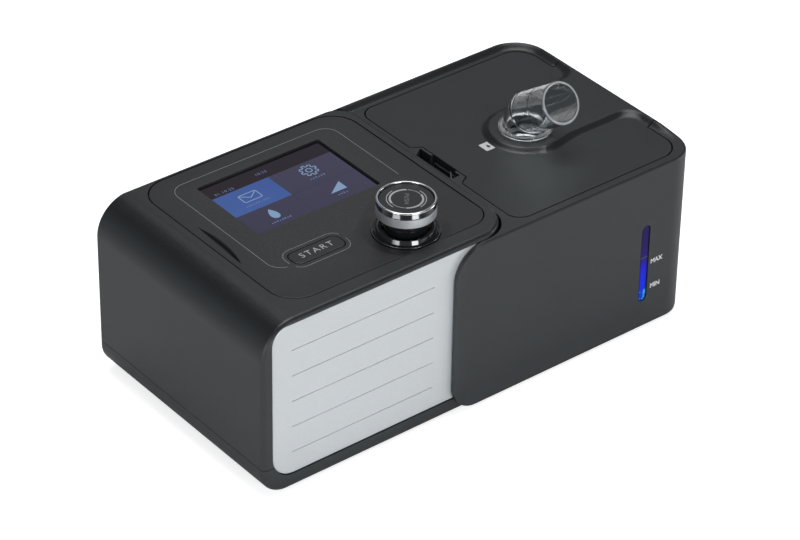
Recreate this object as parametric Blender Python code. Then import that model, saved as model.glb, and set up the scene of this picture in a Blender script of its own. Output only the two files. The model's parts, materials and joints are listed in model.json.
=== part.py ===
# A bench-top breathing-therapy blower with its heated humidifier docked on the right.
# Metres, +Z up. The origin is the middle of the footprint on the table, the front faces -Y.
import math

import bmesh
import bpy
from mathutils import Matrix, Vector

# Clearances shared by all pieces
GAP = 0.0003                 # between pieces that touch in the real product
OVERRUN = 0.004              # how far every cutter runs past what it cuts
ARC_STEPS = 6                # facets of a quarter round
FINE_STEPS = 3               # facets of a small edge round
ROUND_SIDES = 30             # facets of a large turned piece
SMALL_SIDES = 16             # facets of a small turned piece

# Whole object
BODY_WIDTH = 0.270
BODY_DEPTH = 0.1384
BODY_HEIGHT = 0.0988
WALL = 0.0024

# Main unit casing
MAIN_WIDTH = 0.1514
MAIN_UNDERSIDE = 0.0012
FRONT_STEP = 0.0023          # the humidifier stands this far in front of the main unit
TOP_LEFT_ROUND = 0.0195
BOTTOM_LEFT_ROUND = 0.0139
DOCK_EDGE_ROUND = 0.0012
MAIN_FRONT_EDGE = 0.0028
MAIN_BACK_EDGE = 0.0012
DOCK_FRONT_CORNER = 0.014
DOCK_BACK_CORNER = 0.012
SEAM_HEIGHT = 0.0177
TOP_WALL = 0.0047
BASE_FLOOR = 0.0032
BOSS_RADIUS = 0.0031
BOSS_PILOT = 0.0012
BOSS_SIDES = 12

# Front panel
PANEL_LEFT_MARGIN = 0.0057
PANEL_BOTTOM = 0.0095
PANEL_TOP_MARGIN = 0.0028
PANEL_HIDDEN_END = 0.0114    # from the docking face to the panel's hidden end
PANEL_THICKNESS = 0.0022
PANEL_SET_BACK = 0.0005
PANEL_TOP_ROUND = 0.0093
PANEL_BOTTOM_ROUND = 0.0125
PANEL_EDGE = 0.0006
GROOVE_LEFT = 0.0114         # from the panel's left edge
GROOVE_LENGTH = 0.0853
GROOVE_WIDTH = 0.0005
GROOVE_DEPTH = 0.0004
GROOVE_TOP = 0.0149          # from the panel's top edge to the first line
GROOVE_PITCH = 0.01478
GROOVE_COUNT = 5

# Control fascia and its apertures
FASCIA_LEFT = 0.0225         # from the casing's left face
FASCIA_RIGHT = 0.0052        # from the docking face
FASCIA_FRONT = 0.0103        # from the casing's front
FASCIA_BACK = 0.0027         # from the casing's back
FASCIA_ROUND = 0.0155
FASCIA_THICKNESS = 0.0024
FASCIA_GROOVE = 0.0005
FASCIA_EDGE = 0.0004
SCREEN_LEFT_MARGIN = 0.0240  # from the fascia's edges to the window's
SCREEN_RIGHT_MARGIN = 0.0247
SCREEN_FRONT_MARGIN = 0.0558
SCREEN_BACK_MARGIN = 0.0161
SCREEN_ROUND = 0.0012
SCREEN_SILL = 0.0035
LENS_THICKNESS = 0.0012
LCD_HEIGHT = 0.0102
LCD_FRAME = 0.0015
CRESCENT_MARGIN = 0.004      # from the fascia's left edge
CRESCENT_FROM_FRONT = 0.0596  # from the fascia's front edge to its middle
CRESCENT_LENGTH = 0.0371
CRESCENT_WIDTH = 0.0028
CRESCENT_DEPTH = 0.0012

# Start button
START_LEFT_MARGIN = 0.0248   # from the fascia's left edge
START_KNOB_GAP = 0.00415     # to the dip round the knob
START_FROM_FRONT = 0.0301    # from the fascia's front edge to its middle
START_WIDTH = 0.011
START_PROUD = 0.0003
START_FLANGE = 0.0012
START_FLANGE_HEIGHT = 0.0012
START_TRAVEL = 0.0006
START_STEM_RADIUS = 0.002
START_EDGE = 0.0004
SWITCH_SIDE = 0.006

# Knob, its dish and its encoder
KNOB_FROM_DOCK = 0.04545     # from the docking face
KNOB_FROM_FRONT = 0.0274     # from the casing's front
KNOB_RADIUS = 0.0148
KNOB_LIFT = 0.0094           # from the fascia to the knob's lower edge
SKIRT_HEIGHT = 0.00505
KNOB_RING_HEIGHT = 0.00355
KNOB_RIM = 0.0013
KNOB_EDGE = 0.0005
KNOB_STEM_RADIUS = 0.0105
KNOB_STEM_LIFT = 0.0005      # from the fascia down to the stem's lower end
KNOB_LIP = 0.001
KNOB_CAP_THICKNESS = 0.0016
KNOB_CAP_DROP = 0.0003
KNOB_TRAVEL = 0.0008
DIP_RADIUS = 0.0235
DIP_DEPTH = 0.0008
DISH_RADIUS = 0.01695
DISH_LIP = 0.0007
DISH_BOWL_DEPTH = 0.0022
DISH_THICKNESS = 0.0012
DISH_BORE = 0.0052
DISH_SEAT = 0.003            # how far the dish rests on the casing
ENCODER_SIDE = 0.012
ENCODER_HEIGHT = 0.0076
ENCODER_BUSH_RADIUS = 0.0042
ENCODER_BORE = 0.0033
ENCODER_FLOOR = 0.002
PLUNGER_WALL = 0.0009
PLUNGER_RISE = 0.0004        # how far the plunger stands out of its bush
SHAFT_RADIUS = 0.0017
SHAFT_ENGAGED = 0.0042       # how far the shaft ends below the knob's top

# Share of metal in the panel's silver paint
SILVER_METAL_SHARE = 0.2

# Boards
BOARD_THICKNESS = 0.0016
CONTROL_BOARD_MARGIN = 0.0085
CONTROL_BOARD_DROP = 0.0132  # from the casing's top to the board's upper face
MAIN_BOARD_DOCK_MARGIN = 0.0171  # from the docking face to the main board
MAIN_BOARD_DEPTH = 0.020
MAIN_BOARD_LIFT = 0.0045
MAIN_BOARD_MARGIN = 0.0028
CAPACITOR_RADIUS = 0.004
CAPACITOR_HEIGHT = 0.012
CAPACITOR_PITCH = 0.011
CAPACITOR_COUNT = 3
HEAT_SINK_LENGTH = 0.022
HEAT_SINK_FIN = 0.0015
HEAT_SINK_PITCH = 0.0041
HEAT_SINK_FINS = 5
HEAT_SINK_HEIGHT = 0.011
HEAT_SINK_BASE = 0.002
HEAT_SINK_DEPTH = 0.013

# Blower
BLOWER_FROM_DOCK = 0.0644
BLOWER_FROM_BACK = 0.0612
VOLUTE_START_RADIUS = 0.034
VOLUTE_END_RADIUS = 0.046
VOLUTE_TONGUE = math.radians(58)
VOLUTE_STEPS = 22
VOLUTE_WALL = 0.0018
VOLUTE_EXIT = 0.044          # from the blower's axis to the face of its outlet
VOLUTE_HEIGHT = 0.031
VOLUTE_INLET = 0.015
INLET_LIP = 0.0015
MOTOR_RADIUS = 0.017
MOTOR_HEIGHT = 0.0165
MOTOR_EDGE = 0.0012
MOTOR_SHAFT = 0.0015
CUSHION_HEIGHT = 0.003
CUSHION_RADIUS = 0.0205
CUSHION_WALL = 0.0022
IMPELLER_RADIUS = 0.028
IMPELLER_DISC = 0.0014
IMPELLER_HUB = 0.0065
BLADE_HEIGHT = 0.0105
BLADE_THICKNESS = 0.0011
BLADE_COUNT = 9
BLADE_SWEEP = math.radians(52)
BLADE_STEPS = 4
IMPELLER_LIFT = 0.003

# Air outlet between blower and humidifier
SPIGOT_RADIUS = 0.0096
TUBE_WALL = 0.0015
SPIGOT_REACH = 0.006         # how far the spigot enters the main unit
DUCT_WALL = 0.002
DUCT_SIDES = 20
SEAL_LENGTH = 0.003

# Filter at the back
FILTER_FROM_LEFT = 0.030
FILTER_FROM_TOP = 0.0338
FILTER_WIDTH = 0.038
FILTER_HEIGHT = 0.038
FILTER_THICKNESS = 0.005
FILTER_SILL = 0.0035
FILTER_ROUND = 0.003
TRAY_WALL = 0.0016
COVER_THICKNESS = 0.0024
COVER_TRAVEL = 0.015
SLOT_COUNT = 7
SLOT_WIDTH = 0.0022
SLOT_MARGIN = 0.006

# Power socket at the back
SOCKET_FROM_DOCK = 0.0514
SOCKET_Z = 0.0335            # from the table
SOCKET_RADIUS = 0.005
SOCKET_BORE = 0.00285
SOCKET_PIN = 0.00105
SOCKET_LENGTH = 0.011
SOCKET_RECESS = 0.0012
SOCKET_FLANGE = 0.0018
SOCKET_FLOOR = 0.002

# Electrical docking connector
DOCK_Y = -0.012
DOCK_Z = 0.030
DOCK_WIDTH = 0.018
DOCK_HEIGHT = 0.009
DOCK_SHELL = 0.0015
DOCK_SOCKET_LENGTH = 0.009
DOCK_PLUG_REACH = 0.0055
DOCK_PLUG_BACK = 0.006
DOCK_FLANGE = 0.0022

# Feet
FOOT_RADIUS = 0.0065
FOOT_SEAT = 0.001            # depth of the pocket that holds a foot
FOOT_SIDE_MARGIN = 0.022
FOOT_END_MARGIN = 0.016
FOOT_SIDES = 18

# Humidifier casing
HUMIDIFIER_UNDERSIDE = 0.002
DOCK_GAP = 0.0004
WING_REACH = 0.0373          # how far the wing covers the main unit
WING_ROUND = 0.014
FRONT_CORNER = 0.016
BACK_CORNER = 0.020
BOTTOM_RIGHT_ROUND = 0.010
RIM_HEIGHT = 0.0023          # the rim stands this far above the lid's plane
RIM_ROUND = 0.0028
COVE_WIDTH = 0.0036
COVE_STEPS = 4
RIM_FADE_START = 0.0307      # from the casing's front
RIM_FADE_END = 0.0092
FLOOR_MARGIN = 0.0045        # from the casing's inner wall to the floor opening
PLATE_FLANGE = 0.0028
LID_SHELF = 0.0028           # width of the shelf that carries the lid's edge
LID_SHELF_HEIGHT = 0.0022

# Lid
LID_GAP = 0.00035
LID_LEFT = 0.0038            # from the docking face to the lid's left edge
LID_FRONT = 0.0054           # from the casing's front
LID_RIGHT = 0.0072           # from the casing's right side
LID_BACK = 0.0084            # from the casing's back
LID_THICKNESS = 0.0024
LID_EDGE = 0.0004
LID_FRONT_ROUND = 0.0125
LID_BACK_LEFT_ROUND = 0.0085
LID_BACK_RIGHT_ROUND = 0.0125
HINGE_FRONT = -0.0376
HINGE_BACK = 0.035
HINGE_RADIUS = 0.0028
HINGE_PIN_RADIUS = 0.0009
HINGE_PIN_REACH = 0.0035
LID_SWING = math.radians(95)
NOTCH_FRONT = -0.0199
NOTCH_BACK = 0.0155
NOTCH_DEPTH = 0.0054
NOTCH_SLANT = 0.003
POCKET_DEPTH = 0.0105
POCKET_MARGIN = 0.005
POCKET_WALL = 0.0016
POCKET_LENGTH = 0.0072       # from the docking face to the open side of the pocket

# Boss, tongue and air outlet on the lid
OUTLET_ASIDE = 0.0021        # from the lid's middle to the right
OUTLET_Y = -0.0037
BOSS_TOP_RADIUS = 0.0193
BOSS_FOOT_RADIUS = 0.0212
TONGUE_FRONT = 0.0173        # from the outlet's axis forward
TONGUE_BACK = 0.0246         # and backward
TONGUE_SLOPE = 0.003
TONGUE_NECK = 0.0160         # its back side where it leaves the boss, from the outlet's axis
TONGUE_FLARE = 0.0155         # and how far right it reaches its full width
COLLAR_RADIUS = 0.014
COLLAR_FLANGE = 0.0016
COLLAR_WALL = 0.0014
ELBOW_RADIUS = 0.0111
ELBOW_WALL = 0.0016
ELBOW_RISE = 0.0121          # from the boss to the crossing of the two axes
ELBOW_REACH = 0.0307         # from the crossing to the mouth
ELBOW_TILT = math.radians(30)
ELBOW_BEND = 0.013
ELBOW_STUB = 0.0105          # below the boss
ELBOW_SIDES = 20
ELBOW_STEPS = 5
RING_SECTION = 0.0011
RING_DROP = 0.0045

# Latch
LATCH_LENGTH = 0.018
LATCH_THICKNESS = 0.0022
LATCH_HEIGHT = 0.0075
LATCH_TRAVEL = 0.0015
LATCH_RIB = 0.001
LATCH_RIB_COUNT = 3

# Water chamber and heater
CHAMBER_LEFT = 0.0155        # from the docking face
CHAMBER_RIGHT = 0.0145       # from the casing's right side
CHAMBER_FRONT = 0.0118       # from the casing's front
CHAMBER_BACK = 0.0375
CHAMBER_FLOOR = 0.0178
CHAMBER_DROP = 0.0178        # from the casing's top to the chamber's rim
CHAMBER_WALL = 0.0018
CHAMBER_ROUND = 0.014
CHAMBER_LIP = 0.0028
CHAMBER_LIP_HEIGHT = 0.0018
PLATE_THICKNESS = 0.0014
PLATE_MARGIN = 0.01005       # from the plate to the chamber's nearest side
HEATER_THICKNESS = 0.003
HEATER_OVERHANG = 0.002      # the heater reaches this far past the plate
HEATER_TRAY_WALL = 0.0025
COVER_DROP = 0.0014          # chamber cover below the lid
COVER_PLATE = 0.002
COVER_MARGIN = 0.0005
AIR_WAY_WIDTH = 0.010        # the channel from the air port into the chamber
AIR_WAY_WALL = 0.0015
SEAL_WIDTH = 0.0024
SEAL_HEIGHT = 0.0019

# Air inlet of the humidifier
INLET_FROM_DOCK = 0.0276
INLET_SPIGOT_RADIUS = 0.0093
RISER_DROP = 0.015           # from the casing's top to the riser's end
INLET_SIDES = 20

# Level window
WINDOW_FROM_RIGHT = 0.03295
WINDOW_WIDTH = 0.0051
WINDOW_BOTTOM = 0.0181
WINDOW_DROP = 0.0355         # from the casing's top to the window's
WINDOW_SET_BACK = 0.0004
WINDOW_FLANGE = 0.0015
LIGHT_WIDTH = 0.010
LIGHT_THICKNESS = 0.0016
LIGHT_COUNT = 4
LIGHT_SIDE = 0.003
LIGHT_HEIGHT = 0.0012

# Travel of the whole humidifier when it is pulled off the main unit
UNDOCK_TRAVEL = 0.045

# Places that follow from the sizes above
left = -BODY_WIDTH / 2
right = BODY_WIDTH / 2
front = -BODY_DEPTH / 2
back = BODY_DEPTH / 2
top = BODY_HEIGHT
main_right = left + MAIN_WIDTH
main_front = front + FRONT_STEP
dock_left = main_right + DOCK_GAP
lid_top = top - RIM_HEIGHT
lid_under = lid_top - LID_THICKNESS
fascia_under = top - FASCIA_THICKNESS
casing_under_fascia = fascia_under - GAP
main_ceiling = top - TOP_WALL
board_top = top - CONTROL_BOARD_DROP
panel_face = main_front + PANEL_SET_BACK
panel_back = panel_face + PANEL_THICKNESS
main_inner_front = panel_back + GAP + WALL
base_top = MAIN_UNDERSIDE + BASE_FLOOR
fascia_left = left + FASCIA_LEFT
fascia_right = main_right - FASCIA_RIGHT
fascia_front = main_front + FASCIA_FRONT
fascia_back = back - FASCIA_BACK
lens_left = fascia_left + SCREEN_LEFT_MARGIN
lens_right = fascia_right - SCREEN_RIGHT_MARGIN
lens_front = fascia_front + SCREEN_FRONT_MARGIN
lens_back = fascia_back - SCREEN_BACK_MARGIN
knob_x = main_right - KNOB_FROM_DOCK
knob_y = main_front + KNOB_FROM_FRONT
start_left = fascia_left + START_LEFT_MARGIN
start_right = knob_x - DIP_RADIUS - START_KNOB_GAP
start_length = start_right - start_left
start_x = (start_left + start_right) / 2
start_y = fascia_front + START_FROM_FRONT
crescent_x = fascia_left + CRESCENT_MARGIN
crescent_y = fascia_front + CRESCENT_FROM_FRONT
blower_x = main_right - BLOWER_FROM_DOCK
blower_y = back - BLOWER_FROM_BACK
filter_x = left + FILTER_FROM_LEFT
filter_z = top - FILTER_FROM_TOP
socket_x = main_right - SOCKET_FROM_DOCK
hinge_x = right - HINGE_RADIUS
hinge_z = top - HINGE_RADIUS
lid_left = dock_left + LID_LEFT
lid_right = right - LID_RIGHT
lid_front = front + LID_FRONT
lid_back = back - LID_BACK
outlet_x = (lid_left + lid_right) / 2 + OUTLET_ASIDE
inlet_x = main_right + INLET_FROM_DOCK
riser_top = top - RISER_DROP
window_x = right - WINDOW_FROM_RIGHT
window_top = top - WINDOW_DROP
motor_bottom = base_top + GAP + CUSHION_HEIGHT + GAP
volute_bottom = motor_bottom + MOTOR_HEIGHT + GAP
volute_split = volute_bottom + VOLUTE_HEIGHT / 2
exit_inner_y = blower_y + VOLUTE_START_RADIUS * math.cos(math.pi / 2 - VOLUTE_TONGUE)
exit_outer_y = blower_y + VOLUTE_END_RADIUS
port_y = (exit_inner_y + exit_outer_y) / 2
port_z = volute_bottom + VOLUTE_HEIGHT / 2
spigot_tip = main_right - SPIGOT_REACH
chamber_left = dock_left + CHAMBER_LEFT
chamber_right = right - CHAMBER_RIGHT
chamber_front = front + CHAMBER_FRONT
chamber_back = back - CHAMBER_BACK
chamber_top = top - CHAMBER_DROP
chamber_x = (chamber_left + chamber_right) / 2
chamber_y = (chamber_front + chamber_back) / 2
plate_radius = min(chamber_right - chamber_left, chamber_back - chamber_front) / 2 - PLATE_MARGIN
heater_radius = plate_radius + HEATER_OVERHANG
chamber_plate_top = CHAMBER_FLOOR - GAP
heater_top = chamber_plate_top - PLATE_THICKNESS - GAP
humidifier_floor_top = HUMIDIFIER_UNDERSIDE + WALL
cover_top = lid_under - COVER_DROP
elbow_cross = (outlet_x, OUTLET_Y, top + ELBOW_RISE)
elbow_direction = Vector((0, -math.cos(ELBOW_TILT), math.sin(ELBOW_TILT)))


def arc(centre, radius, start, end, steps):
    """Points on a round stretch, first and last included."""
    return [(centre[0] + radius * math.cos(start + (end - start) * i / steps),
             centre[1] + radius * math.sin(start + (end - start) * i / steps))
            for i in range(steps + 1)]


def rounded(low, high, radii, inset=0.0, steps=ARC_STEPS):
    """A rectangle with a radius for each corner: low-low, high-low, high-high, low-high. A zero radius stays sharp."""
    (x0, y0), (x1, y1) = low, high
    corners = [((x0, y0), (1, 1), math.pi), ((x1, y0), (-1, 1), 1.5 * math.pi),
               ((x1, y1), (-1, -1), 0.0), ((x0, y1), (1, -1), math.pi / 2)]
    points = []
    for ((x, y), (sx, sy), start), radius in zip(corners, radii):
        if radius == 0:
            points.append((x + sx * inset, y + sy * inset))
            continue
        bend = max(radius - inset, radius * 0.05)
        centre = (x + sx * (inset + bend), y + sy * (inset + bend))
        points += arc(centre, bend, start, start + math.pi / 2, steps)
    return points


def place(axis, height, point):
    """A point of a section across the axis, at its height along it."""
    u, v = point
    return {"X": (height, u, v), "Y": (u, height, v), "Z": (u, v, height)}[axis]


def finish(name, bm, material=None, location=(0, 0, 0)):
    """Closes the mesh's bookkeeping and puts it in the scene."""
    bmesh.ops.remove_doubles(bm, verts=bm.verts, dist=1e-7)
    bmesh.ops.recalc_face_normals(bm, faces=bm.faces)
    mesh = bpy.data.meshes.new(name)
    bm.to_mesh(mesh)
    bm.free()
    mesh.shade_smooth()
    mesh.set_sharp_from_angle(angle=math.radians(35))
    piece = bpy.data.objects.new(name, mesh)
    piece.location = location
    bpy.context.collection.objects.link(piece)
    if material:
        mesh.materials.append(material)
    return piece


def loft(name, rings, material=None, location=(0, 0, 0)):
    """Skins rings of as many points each and closes both ends."""
    bm = bmesh.new()
    loops = [[bm.verts.new(p) for p in ring] for ring in rings]
    for low, high in zip(loops, loops[1:]):
        count = len(low)
        for i in range(count):
            bm.faces.new((low[i], low[(i + 1) % count], high[(i + 1) % count], high[i]))
    bm.faces.new(loops[0])
    bm.faces.new(loops[-1])
    return finish(name, bm, material, location)


def prism(name, axis, outline, start, end, material=None, location=(0, 0, 0)):
    """An outline drawn out along an axis."""
    return loft(name, [[place(axis, h, p) for p in outline] for h in (start, end)], material, location)


def edge_levels(start, end, start_round, end_round, steps=FINE_STEPS):
    """Heights and insets along a block whose two ends are rounded."""
    levels = [(start, 0.0)]
    if start_round:
        levels = [(start + start_round * (1 - math.sin(a)), start_round * (1 - math.cos(a)))
                  for a in (math.pi / 2 * (1 - i / steps) for i in range(steps + 1))]
    if end_round:
        return levels + [(end - end_round * (1 - math.sin(a)), end_round * (1 - math.cos(a)))
                         for a in (math.pi / 2 * i / steps for i in range(steps + 1))]
    return levels + [(end, 0.0)]


def block(name, axis, low, high, radii, start, end, material=None, start_round=0.0, end_round=0.0,
          steps=ARC_STEPS, levels=None):
    """A rounded rectangle drawn out along an axis, with rounded ends where they are asked for."""
    levels = levels or edge_levels(start, end, start_round, end_round)
    rings = [[place(axis, h, p) for p in rounded(low, high, radii, inset, steps)] for h, inset in levels]
    return loft(name, rings, material)


def box(name, low, high, material=None):
    """A plain box between two corners."""
    return prism(name, "Z", rounded(low[:2], high[:2], (0, 0, 0, 0)), low[2], high[2], material)


def turned(name, profile, centre, material=None, axis="Z", sides=ROUND_SIDES):
    """A closed profile of (radius, height) turned round an axis through the centre."""
    bm = bmesh.new()
    verts = [bm.verts.new((r, 0, h)) for r, h in profile]
    edges = [bm.edges.new((a, b)) for a, b in zip(verts, verts[1:] + verts[:1])]
    bmesh.ops.spin(bm, geom=verts + edges, cent=(0, 0, 0), axis=(0, 0, 1), angle=2 * math.pi,
                   steps=sides, use_merge=True)
    bmesh.ops.remove_doubles(bm, verts=bm.verts, dist=1e-7)
    loose = [e for e in bm.edges if not e.link_faces]
    bmesh.ops.delete(bm, geom=loose, context="EDGES")
    turn = {"Z": Matrix(), "X": Matrix.Rotation(math.pi / 2, 4, "Y"),
            "Y": Matrix.Rotation(-math.pi / 2, 4, "X")}[axis]
    bmesh.ops.transform(bm, matrix=turn, verts=bm.verts)
    return finish(name, bm, material, centre)


def disc(name, centre, radius, start, end, material=None, axis="Z", sides=SMALL_SIDES, edge=0.0):
    """A plain round bar or plate; start and end are measured from the centre along the axis."""
    profile = [(0, start), (radius - edge, start), (radius, start + edge), (radius, end - edge),
               (radius - edge, end), (0, end)]
    if not edge:
        profile = [(0, start), (radius, start), (radius, end), (0, end)]
    return turned(name, profile, centre, material, axis, sides)


def tube(name, centre, outer, inner, start, end, material=None, axis="Z", sides=SMALL_SIDES):
    """A round wall with a bore right through."""
    return turned(name, [(outer, start), (outer, end), (inner, end), (inner, start)], centre, material,
                  axis, sides)


def combine(piece, operation, others):
    """Adds exact Booleans to a piece and puts their operands out of sight."""
    for other in others:
        step = piece.modifiers.new(other.name, "BOOLEAN")
        step.operation = operation
        step.solver = "EXACT"
        step.object = other
        other.hide_render = True
        other.display_type = "WIRE"
    return piece


def cut(piece, *others):
    return combine(piece, "DIFFERENCE", others)


def join(piece, *others):
    return combine(piece, "UNION", others)


def keep(piece, *others):
    return combine(piece, "INTERSECT", others)


def paint(name, colour, roughness, metallic=0.0, alpha=1.0):
    """A Principled material."""
    material = bpy.data.materials.new(name)
    material.use_nodes = True
    shader = material.node_tree.nodes["Principled BSDF"]
    shader.inputs["Base Color"].default_value = (*colour, 1.0)
    shader.inputs["Roughness"].default_value = roughness
    shader.inputs["Metallic"].default_value = metallic
    shader.inputs["Alpha"].default_value = alpha
    return material


def carry(name, location, *pieces):
    """An empty on a joint's axis that carries the pieces of a moving body, which stay where they are."""
    pivot = bpy.data.objects.new(name, None)
    pivot.location = location
    bpy.context.collection.objects.link(pivot)
    for piece in pieces:
        piece.parent = pivot
        piece.matrix_parent_inverse = Matrix.Translation(location).inverted()
    return pivot


def corner_cutter(name, axis, corner, inwards, radius, start, end):
    """What is cut off a square corner so that it is round; inwards says which way the material lies."""
    (u, v), (su, sv) = corner, inwards
    bend = [(u + su * (radius - x), v + sv * (radius - y))
            for x, y in arc((0, 0), radius, 0, math.pi / 2, ARC_STEPS)]
    outline = [*bend, (u + su * radius, v - sv * OVERRUN), (u - su * OVERRUN, v - sv * OVERRUN),
               (u - su * OVERRUN, v + sv * radius)]
    return prism(name, axis, outline, start, end)


def main_form(name, inset=0.0, front_inset=0.0, low_z=MAIN_UNDERSIDE, high_z=top):
    """The main unit's outer form, or its cavity when it is inset: a rounded section met by a rounded plan."""
    radii = (BOTTOM_LEFT_ROUND - inset, DOCK_EDGE_ROUND, DOCK_EDGE_ROUND, TOP_LEFT_ROUND - inset)
    form = block(name, "Y", (left + inset, low_z), (main_right - inset, high_z), radii,
                 main_front + front_inset, back - inset, start_round=0 if inset else MAIN_FRONT_EDGE,
                 end_round=0 if inset else MAIN_BACK_EDGE)
    span = (low_z - OVERRUN, high_z + OVERRUN)
    return cut(form,
               corner_cutter(name + "_corner_front", "Z", (main_right - inset, main_front + front_inset), (-1, 1),
                             DOCK_FRONT_CORNER - inset, *span),
               corner_cutter(name + "_corner_back", "Z", (main_right - inset, back - inset), (-1, -1),
                             DOCK_BACK_CORNER - inset, *span))


def panel_recess():
    """The hollow in the front of the casing that the light panel lies in."""
    low = (left + PANEL_LEFT_MARGIN - GAP, PANEL_BOTTOM - GAP)
    high = (main_right - PANEL_HIDDEN_END + GAP, top - PANEL_TOP_MARGIN + GAP)
    radii = (PANEL_BOTTOM_ROUND + GAP, 0, 0, PANEL_TOP_ROUND + GAP)
    return block("panel_recess", "Y", low, high, radii, main_front - OVERRUN, panel_back + GAP)


def foot_places(x0, x1):
    """The four feet of a casing that runs from x0 to x1."""
    return [(x, y) for x in (x0 + FOOT_SIDE_MARGIN, x1 - FOOT_SIDE_MARGIN)
            for y in (main_front + FOOT_END_MARGIN, back - FOOT_END_MARGIN)]


def foot_pockets(name, places, underside):
    return [disc(f"{name}_{i}", (x, y, underside), FOOT_RADIUS + GAP, -OVERRUN, FOOT_SEAT + GAP,
                 sides=FOOT_SIDES) for i, (x, y) in enumerate(places)]


def feet(name, places, underside, material):
    return [disc(f"{name}_{i + 1}", (x, y, 0), FOOT_RADIUS, 0, underside + FOOT_SEAT, material,
                 sides=FOOT_SIDES, edge=GAP) for i, (x, y) in enumerate(places)]


def base_pan(main_places):
    """The tray below the seam, with posts for the motor's cushion and the main board."""
    pan = main_form("base_pan")
    above = box("above_seam", (left - OVERRUN, front - OVERRUN, SEAM_HEIGHT - GAP / 2),
                (right, back + OVERRUN, top + OVERRUN))
    hollow = main_form("base_hollow", WALL, main_inner_front - main_front, base_top, top - WALL)
    cut(pan, above, hollow, panel_recess())
    cut(pan, *foot_pockets("main_pocket", main_places, MAIN_UNDERSIDE))
    board_x, board_y = main_board_place()
    for i, (x, y) in enumerate(((x, y) for x in (board_x[0], board_x[1]) for y in (board_y[0], board_y[1]))):
        sx = BOSS_RADIUS if x == board_x[0] else -BOSS_RADIUS
        sy = BOSS_RADIUS if y == board_y[0] else -BOSS_RADIUS
        join(pan, disc(f"board_post_{i}", (x + sx, y + sy, base_top), BOSS_RADIUS, -BASE_FLOOR / 2,
                       MAIN_BOARD_LIFT, sides=BOSS_SIDES))
    return pan


def main_board_place():
    """Left-to-right and front-to-back limits of the main board."""
    x = left + BOTTOM_LEFT_ROUND - WALL + MAIN_BOARD_MARGIN
    y = main_inner_front + MAIN_BOARD_MARGIN
    return (x, main_right - MAIN_BOARD_DOCK_MARGIN), (y, y + MAIN_BOARD_DEPTH)


def upper_housing():
    """The casing above the seam: a shell with the fascia's shelf, the panel's recess and its back openings."""
    shell = main_form("upper_housing")
    below = box("below_seam", (left - OVERRUN, front - OVERRUN, -OVERRUN),
                (right, back + OVERRUN, SEAM_HEIGHT + GAP / 2))
    hollow = main_form("upper_hollow", WALL, main_inner_front - main_front, MAIN_UNDERSIDE + WALL,
                       main_ceiling)
    low = (fascia_left - FASCIA_GROOVE, fascia_front - FASCIA_GROOVE)
    high = (fascia_right + FASCIA_GROOVE, fascia_back + FASCIA_GROOVE)
    shelf = block("fascia_shelf", "Z", low, high, (FASCIA_ROUND,) * 4, casing_under_fascia, top + OVERRUN)
    sill = SCREEN_SILL
    screen = box("screen_aperture", (lens_left + sill, lens_front + sill, main_ceiling - OVERRUN),
                 (lens_right - sill, lens_back - sill, top))
    reach = START_FLANGE + GAP + GAP
    start = block("start_aperture", "Z",
                  (start_x - start_length / 2 - reach, start_y - START_WIDTH / 2 - reach),
                  (start_x + start_length / 2 + reach, start_y + START_WIDTH / 2 + reach),
                  (min(start_length, START_WIDTH) / 2 + reach,) * 4, main_ceiling - OVERRUN, top)
    knob = disc("knob_aperture", (knob_x, knob_y, main_ceiling), DISH_RADIUS - DISH_SEAT, -OVERRUN,
                TOP_WALL, sides=ROUND_SIDES)
    seal_outer = SPIGOT_RADIUS + GAP + DUCT_WALL
    port = disc("port_hole", (main_right, port_y, port_z), seal_outer + GAP, -WALL - OVERRUN, OVERRUN,
                axis="X", sides=DUCT_SIDES)
    half = (DOCK_WIDTH / 2 + GAP, DOCK_HEIGHT / 2 + GAP)
    dock = box("dock_hole", (main_right - WALL - OVERRUN, DOCK_Y - half[0], DOCK_Z - half[1]),
               (main_right + OVERRUN, DOCK_Y + half[0], DOCK_Z + half[1]))
    power = disc("power_hole", (socket_x, back, SOCKET_Z), SOCKET_RADIUS + GAP, -WALL - OVERRUN, OVERRUN,
                 axis="Y", sides=SMALL_SIDES)
    cut(shell, below, hollow)
    posts = board_posts(shell)
    join(shell, filter_tray())
    cut(shell, panel_recess(), shelf, screen, start, knob, port, dock, power, *filter_holes(), *posts)
    return shell


def board_posts(shell):
    """Hanging posts for the control board; each has a pilot hole from below."""
    x, y = control_board_place()
    pilots = []
    for i, (px, py) in enumerate(((px, py) for px in x for py in y)):
        sx = BOSS_RADIUS if px == x[0] else -BOSS_RADIUS
        sy = BOSS_RADIUS if py == y[0] else -BOSS_RADIUS
        centre = (px + sx, py + sy, board_top)
        join(shell, disc(f"control_post_{i}", centre, BOSS_RADIUS, GAP, main_ceiling - board_top + GAP,
                         sides=BOSS_SIDES))
        pilots.append(disc(f"control_pilot_{i}", centre, BOSS_PILOT, -OVERRUN,
                           main_ceiling - board_top - BOSS_PILOT, sides=BOSS_SIDES // 2))
    return pilots


def control_board_place():
    """Left-to-right and front-to-back limits of the control board."""
    m = CONTROL_BOARD_MARGIN
    return ((fascia_left + m, fascia_right - m),
            (main_inner_front + GAP + WALL, lens_back + GAP))


def filter_tray():
    """A short square duct behind the back opening, which holds the filter."""
    half_x = FILTER_WIDTH / 2 + GAP + TRAY_WALL
    half_z = FILTER_HEIGHT / 2 + GAP + TRAY_WALL
    depth = COVER_THICKNESS + FILTER_THICKNESS + GAP + GAP + TRAY_WALL
    return box("filter_tray", (filter_x - half_x, back - depth, filter_z - half_z),
               (filter_x + half_x, back - WALL / 2, filter_z + half_z))


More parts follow.
